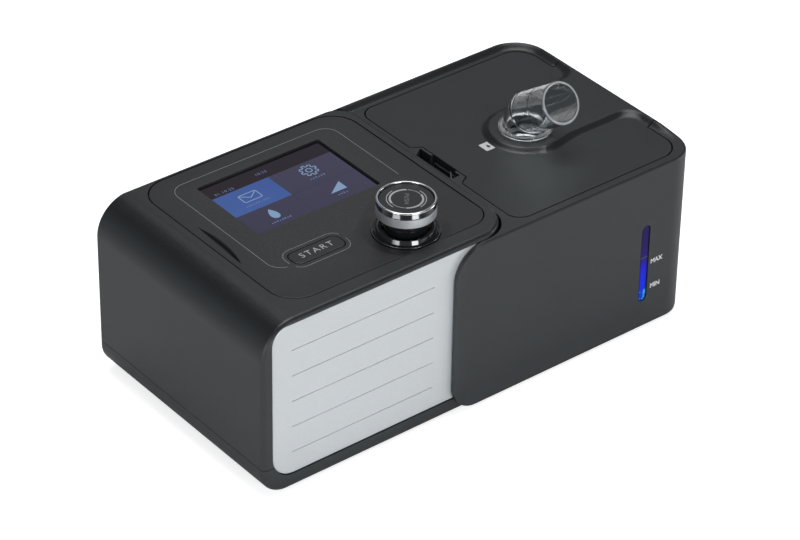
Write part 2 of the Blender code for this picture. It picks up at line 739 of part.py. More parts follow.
def filter_holes():
    """The seat for the filter and its cover, and the smaller air opening behind it."""
    half_x = FILTER_WIDTH / 2 + GAP
    half_z = FILTER_HEIGHT / 2 + GAP
    depth = COVER_THICKNESS + FILTER_THICKNESS + GAP + GAP
    seat = block("filter_seat", "Y", (filter_x - half_x, filter_z - half_z),
                 (filter_x + half_x, filter_z + half_z), (FILTER_ROUND,) * 4, back - depth, back + OVERRUN,
                 steps=FINE_STEPS)
    sill = FILTER_SILL
    way = box("filter_way", (filter_x - half_x + sill, back - depth - TRAY_WALL - OVERRUN,
                             filter_z - half_z + sill),
              (filter_x + half_x - sill, back, filter_z + half_z - sill))
    return seat, way


def filter_pieces(foam, plastic):
    """The foam filter and its slotted cover, which pulls straight off the back."""
    low = (filter_x - FILTER_WIDTH / 2, filter_z - FILTER_HEIGHT / 2)
    high = (filter_x + FILTER_WIDTH / 2, filter_z + FILTER_HEIGHT / 2)
    radii = (FILTER_ROUND - GAP,) * 4
    cover = block("filter_cover", "Y", low, high, radii, back - COVER_THICKNESS, back, plastic,
                  end_round=FASCIA_EDGE, steps=FINE_STEPS)
    pitch = (FILTER_HEIGHT - SLOT_MARGIN - SLOT_MARGIN) / (SLOT_COUNT - 1)
    for i in range(SLOT_COUNT):
        z = filter_z - FILTER_HEIGHT / 2 + SLOT_MARGIN + pitch * i
        cut(cover, box(f"cover_slot_{i}",
                       (low[0] + SLOT_MARGIN, back - COVER_THICKNESS - OVERRUN, z - SLOT_WIDTH / 2),
                       (high[0] - SLOT_MARGIN, back + OVERRUN, z + SLOT_WIDTH / 2)))
    behind = back - COVER_THICKNESS - GAP
    sheet = block("air_filter", "Y", low, high, radii, behind - FILTER_THICKNESS, behind, foam,
                  steps=FINE_STEPS)
    return sheet, cover


def front_panel(material):
    """The light panel with its engraved lines."""
    low = (left + PANEL_LEFT_MARGIN, PANEL_BOTTOM)
    high = (main_right - PANEL_HIDDEN_END, top - PANEL_TOP_MARGIN)
    panel = block("front_panel", "Y", low, high, (PANEL_BOTTOM_ROUND, 0, 0, PANEL_TOP_ROUND), panel_face,
                  panel_back, material, start_round=PANEL_EDGE)
    for i in range(GROOVE_COUNT):
        z = high[1] - GROOVE_TOP - GROOVE_PITCH * i
        cut(panel, box(f"panel_line_{i}", (low[0] + GROOVE_LEFT, panel_face - OVERRUN, z - GROOVE_WIDTH / 2),
                       (low[0] + GROOVE_LEFT + GROOVE_LENGTH, panel_face + GROOVE_DEPTH,
                        z + GROOVE_WIDTH / 2)))
    return panel


def control_fascia(material):
    """The flush black fascia: window, button hole, dip round the knob and a crescent finger mark."""
    low = (fascia_left, fascia_front)
    high = (fascia_right, fascia_back)
    fascia = block("control_fascia", "Z", low, high, (FASCIA_ROUND,) * 4, fascia_under, top, material,
                   end_round=FASCIA_EDGE)
    window = block("window", "Z", (lens_left, lens_front), (lens_right, lens_back), (SCREEN_ROUND,) * 4,
                   fascia_under - OVERRUN, top + OVERRUN, steps=FINE_STEPS)
    half = (start_length / 2 + GAP, START_WIDTH / 2 + GAP)
    start = block("start_hole", "Z", (start_x - half[0], start_y - half[1]),
                  (start_x + half[0], start_y + half[1]), (min(half),) * 4, fascia_under - OVERRUN,
                  top + OVERRUN)
    dip = turned("knob_dip", [(0, -DIP_DEPTH), (DISH_RADIUS, -DIP_DEPTH), (DIP_RADIUS, 0),
                              (DIP_RADIUS, OVERRUN), (0, OVERRUN)], (knob_x, knob_y, top))
    hole = disc("dish_hole", (knob_x, knob_y, top), DISH_RADIUS + GAP, -FASCIA_THICKNESS - OVERRUN, OVERRUN,
                sides=ROUND_SIDES)
    rise = CRESCENT_LENGTH / 2
    bend = (rise * rise + CRESCENT_WIDTH * CRESCENT_WIDTH) / (CRESCENT_WIDTH + CRESCENT_WIDTH)
    spread = math.asin(rise / bend)
    bow = arc((crescent_x + CRESCENT_WIDTH / 2 + CRESCENT_WIDTH - bend, crescent_y), bend, -spread, spread,
              ARC_STEPS)
    crescent = prism("crescent", "Z", bow, top - CRESCENT_DEPTH, top + OVERRUN)
    return cut(fascia, window, start, dip, hole, crescent)


def screen_pieces(glass, board):
    """The clear window and the display module under it."""
    lens = block("display_lens", "Z", (lens_left + GAP, lens_front + GAP), (lens_right - GAP, lens_back - GAP),
                 (SCREEN_ROUND,) * 4, fascia_under, fascia_under + LENS_THICKNESS, glass, steps=FINE_STEPS)
    inset = SCREEN_SILL + GAP
    low = (lens_left + inset, lens_front + inset)
    high = (lens_right - inset, lens_back - inset)
    module = block("lcd_module", "Z", low, high, (SCREEN_ROUND,) * 4, board_top + GAP,
                   fascia_under - GAP, board, steps=FINE_STEPS)
    cut(module, box("lcd_glass", (low[0] + LCD_FRAME, low[1] + LCD_FRAME, fascia_under - GAP - GAP),
                    (high[0] - LCD_FRAME, high[1] - LCD_FRAME, top)))
    return lens, module


def start_button(material):
    """The long button with its hidden flange and its stem above the switch."""
    def stadium(name, grow, low, high, edge=0.0):
        half = (start_length / 2 + grow, START_WIDTH / 2 + grow)
        return block(name, "Z", (start_x - half[0], start_y - half[1]), (start_x + half[0], start_y + half[1]),
                     (min(half),) * 4, low, high, material, end_round=edge)
    flange_top = fascia_under - GAP
    button = stadium("start_button", 0, flange_top - START_FLANGE_HEIGHT, top + START_PROUD, START_EDGE)
    flange = stadium("start_flange", START_FLANGE, flange_top - START_FLANGE_HEIGHT, flange_top)
    stem_foot = board_top + GAP + SWITCH_SIDE + START_TRAVEL + GAP
    stem = disc("start_stem", (start_x, start_y, stem_foot), START_STEM_RADIUS, 0,
                flange_top - stem_foot - START_FLANGE_HEIGHT / 2, sides=BOSS_SIDES)
    return join(button, flange, stem)


def start_switch(material):
    half = SWITCH_SIDE / 2
    body = box("start_switch", (start_x - half, start_y - half, board_top + GAP),
               (start_x + half, start_y + half, board_top + GAP + SWITCH_SIDE - START_EDGE), material)
    return join(body, disc("switch_dot", (start_x, start_y, board_top + GAP), START_STEM_RADIUS,
                           half, SWITCH_SIDE, sides=BOSS_SIDES))


def knob_pieces(glossy, chrome, satin, black, dark_metal):
    """Dish, stem, satin skirt, chrome ring and top disc, all turned about one axis."""
    centre = (knob_x, knob_y, top)
    bowl = [(DISH_RADIUS - DISH_LIP - (DISH_RADIUS - DISH_LIP - DISH_BORE) * i / ARC_STEPS,
             -DIP_DEPTH - DISH_BOWL_DEPTH * math.sin(math.pi / 2 * i / ARC_STEPS))
            for i in range(ARC_STEPS + 1)]
    lowest = -DIP_DEPTH - DISH_BOWL_DEPTH - DISH_THICKNESS
    dish = turned("knob_dish", [(DISH_RADIUS, -FASCIA_THICKNESS), (DISH_RADIUS, -DIP_DEPTH), *bowl,
                                (DISH_BORE, lowest), (DISH_RADIUS - DISH_SEAT - GAP, lowest),
                                (DISH_RADIUS - DISH_SEAT - GAP, -FASCIA_THICKNESS)], centre, glossy)
    low = KNOB_LIFT
    ring_low = low + SKIRT_HEIGHT + GAP
    high = ring_low + KNOB_RING_HEIGHT
    inner = KNOB_RADIUS - KNOB_RIM
    hub_low = low + KNOB_LIP + GAP
    cap_low = high - KNOB_CAP_DROP - KNOB_CAP_THICKNESS
    skirt = turned("knob_skirt", [(KNOB_STEM_RADIUS + GAP, low), (KNOB_RADIUS - KNOB_EDGE, low),
                                  (KNOB_RADIUS, low + KNOB_EDGE), (KNOB_RADIUS, low + SKIRT_HEIGHT),
                                  (inner, low + SKIRT_HEIGHT), (inner, low + KNOB_LIP),
                                  (KNOB_STEM_RADIUS + GAP, low + KNOB_LIP)], centre, satin)
    ring = turned("knob_ring", [(inner, ring_low), (KNOB_RADIUS, ring_low), (KNOB_RADIUS, high - KNOB_EDGE),
                                (KNOB_RADIUS - KNOB_EDGE, high), (inner + GAP, high), (inner, high - GAP)],
                  centre, chrome)
    bore = SHAFT_RADIUS + GAP
    hub = turned("knob_stem", [(bore, KNOB_STEM_LIFT - DIP_DEPTH), (KNOB_STEM_RADIUS, KNOB_STEM_LIFT - DIP_DEPTH),
                               (KNOB_STEM_RADIUS, hub_low), (inner - GAP, hub_low),
                               (inner - GAP, cap_low - GAP), (bore, cap_low - GAP)], centre, black)
    cap = disc("knob_cap", centre, inner - GAP, cap_low, high - KNOB_CAP_DROP, black, sides=ROUND_SIDES,
               edge=GAP)
    bottom = board_top + GAP
    side = ENCODER_SIDE / 2
    body = box("encoder_body", (knob_x - side, knob_y - side, bottom),
               (knob_x + side, knob_y + side, bottom + ENCODER_HEIGHT), dark_metal)
    bush_top = top + lowest - GAP
    join(body, disc("encoder_bush", (knob_x, knob_y, bottom), ENCODER_BUSH_RADIUS, ENCODER_HEIGHT / 2,
                    bush_top - bottom, sides=SMALL_SIDES))
    cut(body, disc("encoder_bore", (knob_x, knob_y, bottom), ENCODER_BORE, ENCODER_FLOOR,
                   bush_top - bottom + OVERRUN, sides=SMALL_SIDES))
    cup_low = bottom + ENCODER_FLOOR + KNOB_TRAVEL + GAP
    cup_r = ENCODER_BORE - GAP
    cup_top = bush_top + PLUNGER_RISE + KNOB_TRAVEL
    cup = turned("encoder_plunger", [(0, 0), (cup_r, 0), (cup_r, cup_top - cup_low),
                                     (cup_r - PLUNGER_WALL, cup_top - cup_low), (cup_r - PLUNGER_WALL, PLUNGER_WALL),
                                     (0, PLUNGER_WALL)], (knob_x, knob_y, cup_low), satin, sides=SMALL_SIDES)
    shaft_low = cup_low + PLUNGER_WALL + GAP
    shaft = disc("encoder_shaft", (knob_x, knob_y, shaft_low), SHAFT_RADIUS, 0,
                 top + high - SHAFT_ENGAGED - shaft_low, satin, sides=SMALL_SIDES)
    return dish, (hub, skirt, ring, cap, shaft), body, cup


def boards(green):
    """The control board under the fascia and the main board on the base pan."""
    x, y = control_board_place()
    control = box("control_board", (x[0], y[0], board_top - BOARD_THICKNESS), (x[1], y[1], board_top), green)
    x, y = main_board_place()
    low = base_top + MAIN_BOARD_LIFT + GAP
    main = box("main_board", (x[0], y[0], low), (x[1], y[1], low + BOARD_THICKNESS), green)
    middle = (y[0] + y[1]) / 2
    for i in range(CAPACITOR_COUNT):
        centre = (x[0] + CAPACITOR_PITCH * (i + 1), middle, low)
        join(main, disc(f"capacitor_{i}", centre, CAPACITOR_RADIUS, BOARD_THICKNESS / 2,
                        CAPACITOR_HEIGHT, sides=BOSS_SIDES))
    sink = x[1] - CAPACITOR_PITCH - HEAT_SINK_LENGTH
    rear = middle - HEAT_SINK_DEPTH / 2
    join(main, box("sink_base", (sink, rear, low + BOARD_THICKNESS / 2),
                   (sink + HEAT_SINK_LENGTH, rear + HEAT_SINK_DEPTH, low + BOARD_THICKNESS + HEAT_SINK_BASE)))
    for i in range(HEAT_SINK_FINS):
        fin = sink + HEAT_SINK_FIN + HEAT_SINK_PITCH * i
        join(main, box(f"sink_fin_{i}", (fin, rear + GAP, low + BOARD_THICKNESS),
                       (fin + HEAT_SINK_FIN, rear + HEAT_SINK_DEPTH - GAP, low + HEAT_SINK_HEIGHT)))
    return control, main


def spiral(inset):
    """The volute's outline: a radius that grows along the flow and a straight outlet towards +X."""
    points = []
    for i in range(VOLUTE_STEPS + 1):
        share = i / VOLUTE_STEPS
        angle = VOLUTE_TONGUE - share * (2 * math.pi - (math.pi / 2 - VOLUTE_TONGUE))
        radius = VOLUTE_START_RADIUS + (VOLUTE_END_RADIUS - VOLUTE_START_RADIUS) * share - inset
        points.append((blower_x + radius * math.cos(angle), blower_y + radius * math.sin(angle)))
    end = blower_x + VOLUTE_EXIT + (OVERRUN if inset else 0)
    points.append((end, points[-1][1]))
    points.append((end, exit_inner_y + inset))
    return points


def blower(casing, metal, rubber, impeller_plastic):
    """Cushion, motor, two volute halves and the bladed wheel."""
    axis = (blower_x, blower_y)
    cushion = tube("blower_cushion", (*axis, base_top + GAP), CUSHION_RADIUS, CUSHION_RADIUS - CUSHION_WALL - CUSHION_HEIGHT,
                   0, CUSHION_HEIGHT, rubber, sides=SMALL_SIDES)
    motor = disc("blower_motor", (*axis, motor_bottom), MOTOR_RADIUS, 0, MOTOR_HEIGHT, metal,
                 sides=SMALL_SIDES, edge=MOTOR_EDGE)
    wall = VOLUTE_WALL
    half = VOLUTE_HEIGHT / 2
    z = volute_bottom
    lower = prism("blower_lower", "Z", spiral(0), z, z + half - GAP / 2, casing)
    cut(lower, prism("lower_channel", "Z", spiral(wall), z + wall, z + half + OVERRUN),
        disc("shaft_hole", (*axis, z), MOTOR_SHAFT + GAP, -OVERRUN, wall + OVERRUN, sides=BOSS_SIDES))
    cut(motor, disc("motor_bore", (*axis, motor_bottom), MOTOR_SHAFT + GAP, MOTOR_HEIGHT / 2,
                    MOTOR_HEIGHT + OVERRUN, sides=BOSS_SIDES))
    upper = prism("blower_upper", "Z", spiral(0), z + half + GAP / 2, z + VOLUTE_HEIGHT, casing)
    lip = disc("inlet_lip", (*axis, z + VOLUTE_HEIGHT), VOLUTE_INLET + wall, -wall / 2, INLET_LIP,
               sides=SMALL_SIDES)
    cut(join(upper, lip), prism("upper_channel", "Z", spiral(wall), z + half - OVERRUN,
                                z + VOLUTE_HEIGHT - wall),
        disc("inlet_hole", (*axis, z + VOLUTE_HEIGHT), VOLUTE_INLET, -wall - OVERRUN, INLET_LIP + OVERRUN,
             sides=SMALL_SIDES))
    wheel_low = z + wall + IMPELLER_LIFT
    wheel = turned("impeller", [(0, 0), (IMPELLER_RADIUS, 0), (IMPELLER_RADIUS, IMPELLER_DISC),
                                (IMPELLER_HUB, IMPELLER_DISC), (IMPELLER_HUB - MOTOR_SHAFT, BLADE_HEIGHT),
                                (0, BLADE_HEIGHT)], (*axis, wheel_low), impeller_plastic)
    cut(wheel, disc("impeller_bore", (*axis, wheel_low), MOTOR_SHAFT + GAP, -OVERRUN, BLADE_HEIGHT / 2,
                    sides=BOSS_SIDES))
    for i in range(BLADE_COUNT):
        join(wheel, blade(f"blade_{i}", 2 * math.pi * i / BLADE_COUNT, wheel_low))
    shaft = disc("motor_shaft", (*axis, motor_bottom + MOTOR_HEIGHT / 2 + GAP), MOTOR_SHAFT, 0,
                 wheel_low + BLADE_HEIGHT / 2 - GAP - motor_bottom - MOTOR_HEIGHT / 2 - GAP, metal,
                 sides=BOSS_SIDES)
    return cushion, motor, lower, upper, wheel, shaft


def blade(name, turn, low):
    """One backward-curved blade from the hub to the wheel's rim."""
    outer, inner = [], []
    first = IMPELLER_HUB - MOTOR_SHAFT
    last = IMPELLER_RADIUS - GAP
    for i in range(BLADE_STEPS + 1):
        share = i / BLADE_STEPS
        radius = first + (last - first) * share
        angle = turn + BLADE_SWEEP * share * share
        half = BLADE_THICKNESS / 2 / radius
        outer.append((blower_x + radius * math.cos(angle + half), blower_y + radius * math.sin(angle + half)))
        inner.append((blower_x + radius * math.cos(angle - half), blower_y + radius * math.sin(angle - half)))
    return prism(name, "Z", outer + inner[::-1], low + IMPELLER_DISC / 2, low + BLADE_HEIGHT - GAP)


def outlet_pieces(plastic, rubber):
    """The duct from the volute's square outlet to the round port, and the seal in the casing's wall."""
    start = blower_x + VOLUTE_EXIT + GAP
    end = main_right - WALL - GAP
    half_y = (exit_outer_y - exit_inner_y) / 2
    half_z = VOLUTE_HEIGHT / 2

    def section(x, blend, grow):
        points = []
        for i in range(DUCT_SIDES):
            angle = 2 * math.pi * (i + 0.5) / DUCT_SIDES
            c, s = math.cos(angle), math.sin(angle)
            square = max(abs(c), abs(s))
            box_y = (half_y - VOLUTE_WALL + grow) * c / square
            box_z = (half_z - VOLUTE_WALL + grow) * s / square
            round_y = (SPIGOT_RADIUS + GAP + GAP + grow) * c
            round_z = (SPIGOT_RADIUS + GAP + GAP + grow) * s
            points.append((x, port_y + box_y + (round_y - box_y) * blend,
                           port_z + box_z + (round_z - box_z) * blend))
        return points
    straight = end - SPIGOT_REACH
    duct = loft("outlet_duct", [section(start, 0, VOLUTE_WALL), section(straight, 1, DUCT_WALL),
                                section(end, 1, DUCT_WALL)], plastic)
    cut(duct, loft("duct_bore", [section(start - OVERRUN, 0, 0), section(start, 0, 0), section(straight, 1, 0),
                                 section(end + OVERRUN, 1, 0)]))
    seal = tube("outlet_seal", (main_right - DOCK_EDGE_ROUND / 2, port_y, port_z),
                SPIGOT_RADIUS + GAP + DUCT_WALL, SPIGOT_RADIUS + GAP, -SEAL_LENGTH + DOCK_EDGE_ROUND, 0,
                rubber, axis="X", sides=DUCT_SIDES)
    return duct, seal


def power_socket(material):
    """The round inlet at the back with its centre pin."""
    face = back - SOCKET_RECESS
    profile = [(0, -SOCKET_LENGTH), (SOCKET_RADIUS, -SOCKET_LENGTH), (SOCKET_RADIUS, 0), (SOCKET_BORE, 0),
               (SOCKET_BORE, SOCKET_FLOOR - SOCKET_LENGTH), (SOCKET_PIN, SOCKET_FLOOR - SOCKET_LENGTH),
               (SOCKET_PIN, -SOCKET_RECESS), (0, -SOCKET_RECESS)]
    socket = turned("power_socket", profile, (socket_x, face, SOCKET_Z), material, "Y", SMALL_SIDES)
    flange = tube("socket_flange", (socket_x, back - WALL - GAP, SOCKET_Z), SOCKET_RADIUS + SOCKET_FLANGE,
                  SOCKET_RADIUS - GAP, -SOCKET_FLANGE, 0, axis="Y", sides=SMALL_SIDES)
    return join(socket, flange)


def dock_socket(material):
    """The electrical socket in the docking wall, held by a flange inside the casing."""
    inner = main_right - WALL - GAP
    mouth = main_right - DOCK_EDGE_ROUND / 2
    half = (DOCK_WIDTH / 2, DOCK_HEIGHT / 2)
    body = box("dock_socket", (mouth - DOCK_SOCKET_LENGTH, DOCK_Y - half[0], DOCK_Z - half[1]),
               (mouth, DOCK_Y + half[0], DOCK_Z + half[1]), material)
    rim = DOCK_FLANGE
    join(body, box("dock_flange", (inner - DOCK_FLANGE, DOCK_Y - half[0] - rim, DOCK_Z - half[1] - rim),
                   (inner, DOCK_Y + half[0] + rim, DOCK_Z + half[1] + rim)))
    shell = DOCK_SHELL
    return cut(body, box("dock_mouth", (mouth - DOCK_SOCKET_LENGTH + shell, DOCK_Y - half[0] + shell,
                                        DOCK_Z - half[1] + shell),
                         (mouth + OVERRUN, DOCK_Y + half[0] - shell, DOCK_Z + half[1] - shell)))


def casing_plan(name, inset, low, high, end_round=0.0):
    """The humidifier's plan with its rounded right corners; on the left it reaches to the wing's edge."""
    return block(name, "Z", (main_right - WING_REACH, front + inset), (right - inset, back - inset),
                 (0, FRONT_CORNER - inset, BACK_CORNER - inset, 0), low, high, end_round=end_round)


def main_clearance(name, grow):
    """The room that the main unit takes out of the humidifier."""
    return block(name, "Z", (left - OVERRUN, main_front - GAP - (grow - DOCK_GAP)), (main_right + grow, back + grow),
                 (0, DOCK_FRONT_CORNER + grow, DOCK_BACK_CORNER + grow, 0), -OVERRUN, top + OVERRUN)


def humidifier_housing():
    """The humidifier's casing with its wing, its rim, its lid shelf and its openings."""
    shell = casing_plan("humidifier_housing", 0, HUMIDIFIER_UNDERSIDE, top, end_round=RIM_ROUND)
    underside = block("corner_round", "Y", (left, HUMIDIFIER_UNDERSIDE), (right, top + OVERRUN),
                      (0, BOTTOM_RIGHT_ROUND, 0, 0), front - OVERRUN, back + OVERRUN)
    hollow = casing_plan("hollow", WALL, humidifier_floor_top, lid_under - GAP - LID_SHELF_HEIGHT)
    keep(hollow, block("hollow_round", "Y", (left, humidifier_floor_top), (right - WALL, top + OVERRUN),
                       (0, BOTTOM_RIGHT_ROUND - WALL, 0, 0), front - OVERRUN, back + OVERRUN))
    cut(hollow, main_clearance("hollow_side", DOCK_GAP + WALL))
    keep(shell, underside)
    cut(shell, hollow)
    cut(shell, main_clearance("dock_side", DOCK_GAP))
    wing_left = main_right - WING_REACH
    cut(shell, corner_cutter("wing_low", "Y", (wing_left, HUMIDIFIER_UNDERSIDE), (1, 1), WING_ROUND,
                             front - OVERRUN, front + OVERRUN),
        corner_cutter("wing_high", "Y", (wing_left, lid_top), (1, -1), WING_ROUND, front - OVERRUN,
                      front + OVERRUN))
    join(shell, box("pocket_tray", (dock_left + GAP, NOTCH_FRONT + POCKET_MARGIN - POCKET_WALL,
                                    lid_top - POCKET_DEPTH - POCKET_WALL),
                    (dock_left + POCKET_LENGTH, NOTCH_BACK - POCKET_MARGIN + POCKET_WALL, lid_under - GAP)))
    cut(shell, *lid_openings())
    floor_low, floor_high = floor_opening()
    cut(shell, box("floor_hole", (floor_low[0], floor_low[1], -OVERRUN),
                   (floor_high[0], floor_high[1], humidifier_floor_top + OVERRUN)))
    spigot = disc("spigot_hole", (dock_left, port_y, port_z), INLET_SPIGOT_RADIUS + GAP, -OVERRUN,
                  WALL + OVERRUN, axis="X", sides=INLET_SIDES)
    half = (DOCK_WIDTH / 2 - DOCK_SHELL, DOCK_HEIGHT / 2 - DOCK_SHELL)
    plug = box("plug_hole", (dock_left - OVERRUN, DOCK_Y - half[0], DOCK_Z - half[1]),
               (dock_left + WALL + OVERRUN, DOCK_Y + half[0], DOCK_Z + half[1]))
    window = box("window_hole", (window_x - WINDOW_WIDTH / 2 - GAP, front - OVERRUN, WINDOW_BOTTOM - GAP),
                 (window_x + WINDOW_WIDTH / 2 + GAP, front + WALL + OVERRUN, window_top + GAP))
    return cut(shell, spigot, plug, window)


def lid_openings():
    """What is taken out of the casing's top: the well with its cove, the lid's seat, the hinge gap and the pocket."""
    g = LID_GAP
    flare = [(lid_top, 0.0)]
    for i in range(1, COVE_STEPS + 1):
        angle = math.pi / 2 * i / COVE_STEPS
        flare.append((lid_top + RIM_HEIGHT * (1 - math.cos(angle)), -COVE_WIDTH * math.sin(angle)))
    flare.append((top + OVERRUN, -COVE_WIDTH))
    well = block("lid_well", "Z", (left, front - BODY_DEPTH), (lid_right + g, lid_back + g),
                 (0, 0, LID_BACK_RIGHT_ROUND, 0), 0, 0, levels=flare)
    seat = block("lid_seat", "Z", (lid_left - g, lid_front - g), (lid_right + g, lid_back + g),
                 (LID_BACK_LEFT_ROUND, LID_FRONT_ROUND, LID_BACK_RIGHT_ROUND, LID_BACK_LEFT_ROUND),
                 lid_under - g, top + OVERRUN)
    mouth = LID_SHELF + g
    way = block("lid_way", "Z", (lid_left + mouth, lid_front + mouth), (lid_right - mouth, lid_back - mouth),
                (LID_BACK_LEFT_ROUND,) * 4, chamber_top - WALL, top + OVERRUN)
    hinge = box("hinge_gap", (lid_right - HINGE_RADIUS, HINGE_FRONT - g, hinge_z - HINGE_RADIUS - g),
                (right + OVERRUN, HINGE_BACK + g, top + OVERRUN))
    bore = disc("housing_bore", (hinge_x, 0, hinge_z), HINGE_PIN_RADIUS + GAP,
                HINGE_FRONT - HINGE_PIN_REACH - GAP, HINGE_BACK + HINGE_PIN_REACH + GAP, axis="Y",
                sides=BOSS_SIDES)
    fade = prism("rim_fade", "X", [(front + RIM_FADE_START, top), (front + RIM_FADE_START, top + OVERRUN),
                                   (front - OVERRUN, top + OVERRUN), (front - OVERRUN, lid_top),
                                   (front + RIM_FADE_END, lid_top)], lid_left, right + OVERRUN)
    pocket = box("finger_pocket", (dock_left + POCKET_WALL, NOTCH_FRONT + POCKET_MARGIN,
                                   lid_top - POCKET_DEPTH),
                 (dock_left + POCKET_LENGTH + OVERRUN, NOTCH_BACK - POCKET_MARGIN, top + OVERRUN))
    return well, seat, way, hinge, bore, fade, pocket


def floor_opening():
    """Low and high corners of the opening in the casing's floor."""
    m = WALL + FLOOR_MARGIN
    return (dock_left + m, front + m), (right - BOTTOM_RIGHT_ROUND - FLOOR_MARGIN, back - m)


def humidifier_base(material):
    """The floor plate: a lower part in the opening and a flange that rests on the casing's floor."""
    low, high = floor_opening()
    f = PLATE_FLANGE
    plate = box("humidifier_base", (low[0] + GAP, low[1] + GAP, HUMIDIFIER_UNDERSIDE),
                (high[0] - GAP, high[1] - GAP, humidifier_floor_top + GAP + GAP), material)
    return join(plate, block("base_flange", "Z", (low[0] - f, low[1] - f), (high[0] + f, high[1] + f),
                             (BOTTOM_RIGHT_ROUND,) * 4, humidifier_floor_top + GAP,
                             humidifier_floor_top + GAP + WALL))


def heater(insulator, metal):
    """The heater disc on its insulating ring."""
    tray_low = humidifier_floor_top + GAP + WALL + GAP
    plate_low = heater_top - HEATER_THICKNESS
    tray = tube("heater_tray", (chamber_x, chamber_y, tray_low), heater_radius, heater_radius - HEATER_TRAY_WALL,
                0, plate_low - GAP - tray_low, insulator, sides=ROUND_SIDES)
    plate = disc("heater_plate", (chamber_x, chamber_y, plate_low), heater_radius, 0, HEATER_THICKNESS, metal,
                 sides=ROUND_SIDES)
    return tray, plate


def chamber(clear, metal):
    """The open water tub with its rolled lip, and the metal plate under it."""
    w = CHAMBER_WALL
    lip = CHAMBER_LIP
    tub = block("water_chamber", "Z", (chamber_left, chamber_front), (chamber_right, chamber_back),
                (CHAMBER_ROUND,) * 4, CHAMBER_FLOOR, chamber_top, clear, start_round=CHAMBER_LIP)
    join(tub, block("chamber_lip", "Z", (chamber_left - lip, chamber_front - lip),
                    (chamber_right + lip, chamber_back + lip), (CHAMBER_ROUND + lip,) * 4,
                    chamber_top - CHAMBER_LIP_HEIGHT, chamber_top))
    cut(tub, block("chamber_hollow", "Z", (chamber_left + w, chamber_front + w),
                   (chamber_right - w, chamber_back - w), (CHAMBER_ROUND - w,) * 4, CHAMBER_FLOOR + w,
                   chamber_top + OVERRUN))
    plate = disc("chamber_plate", (chamber_x, chamber_y, chamber_plate_top - PLATE_THICKNESS), plate_radius, 0,
                 PLATE_THICKNESS, metal, sides=ROUND_SIDES)
    return tub, plate


def inlet_duct(material):
    """The spigot that enters the main unit and turns up to the chamber cover."""
    r = INLET_SPIGOT_RADIUS
    bore = r - TUBE_WALL
    run = inlet_x - spigot_tip
    duct = disc("inlet_duct", (spigot_tip, port_y, port_z), r, 0, run + r, material, "X", INLET_SIDES)
    riser = disc("riser", (inlet_x, port_y, port_z), r - GAP, -r + GAP, riser_top - port_z, sides=INLET_SIDES)
    join(duct, riser)
    return cut(duct, disc("duct_run", (spigot_tip, port_y, port_z), bore, -OVERRUN, run + bore, axis="X",
                          sides=INLET_SIDES),
               disc("duct_rise", (inlet_x, port_y, port_z), bore - GAP, -bore + GAP, riser_top - port_z + OVERRUN,
                    sides=INLET_SIDES))


def dock_plug(material):
    """The plug that stands out of the humidifier's docking wall."""
    half = (DOCK_WIDTH / 2 - DOCK_SHELL - GAP, DOCK_HEIGHT / 2 - DOCK_SHELL - GAP)
    inner = dock_left + WALL + GAP
    plug = box("dock_plug", (main_right - DOCK_PLUG_REACH, DOCK_Y - half[0], DOCK_Z - half[1]),
               (inner + DOCK_PLUG_BACK, DOCK_Y + half[0], DOCK_Z + half[1]), material)
    rim = DOCK_FLANGE
    return join(plug, box("plug_flange", (inner, DOCK_Y - half[0] - rim, DOCK_Z - half[1] - rim),
                          (inner + DOCK_FLANGE, DOCK_Y + half[0] + rim, DOCK_Z + half[1] + rim)))


def level_pieces(clear, green):
    """The window strip in the casing's front and the light strip behind it."""
    half = WINDOW_WIDTH / 2
    window = block("level_window", "Y", (window_x - half, WINDOW_BOTTOM), (window_x + half, window_top),
                   (half / 2,) * 4, front + WINDOW_SET_BACK, front + WALL + GAP + GAP, clear, steps=FINE_STEPS)
    flange = WINDOW_FLANGE
    join(window, box("window_flange", (window_x - half - flange, front + WALL + GAP, WINDOW_BOTTOM - flange),
                     (window_x + half + flange, front + WALL + GAP + flange, window_top + flange)))
    face = front + WALL + GAP + flange + GAP + LIGHT_HEIGHT
    strip = box("level_light", (window_x - LIGHT_WIDTH / 2, face, WINDOW_BOTTOM - flange),
                (window_x + LIGHT_WIDTH / 2, face + LIGHT_THICKNESS, window_top + flange), green)
    pitch = (window_top - WINDOW_BOTTOM) / LIGHT_COUNT
    for i in range(LIGHT_COUNT):
        z = WINDOW_BOTTOM + pitch * (i + 0.5)
        join(strip, box(f"light_{i}", (window_x - LIGHT_SIDE / 2, face - LIGHT_HEIGHT, z - LIGHT_SIDE / 2),
                        (window_x + LIGHT_SIDE / 2, face + LIGHT_THICKNESS / 2, z + LIGHT_SIDE / 2)))
    return window, strip


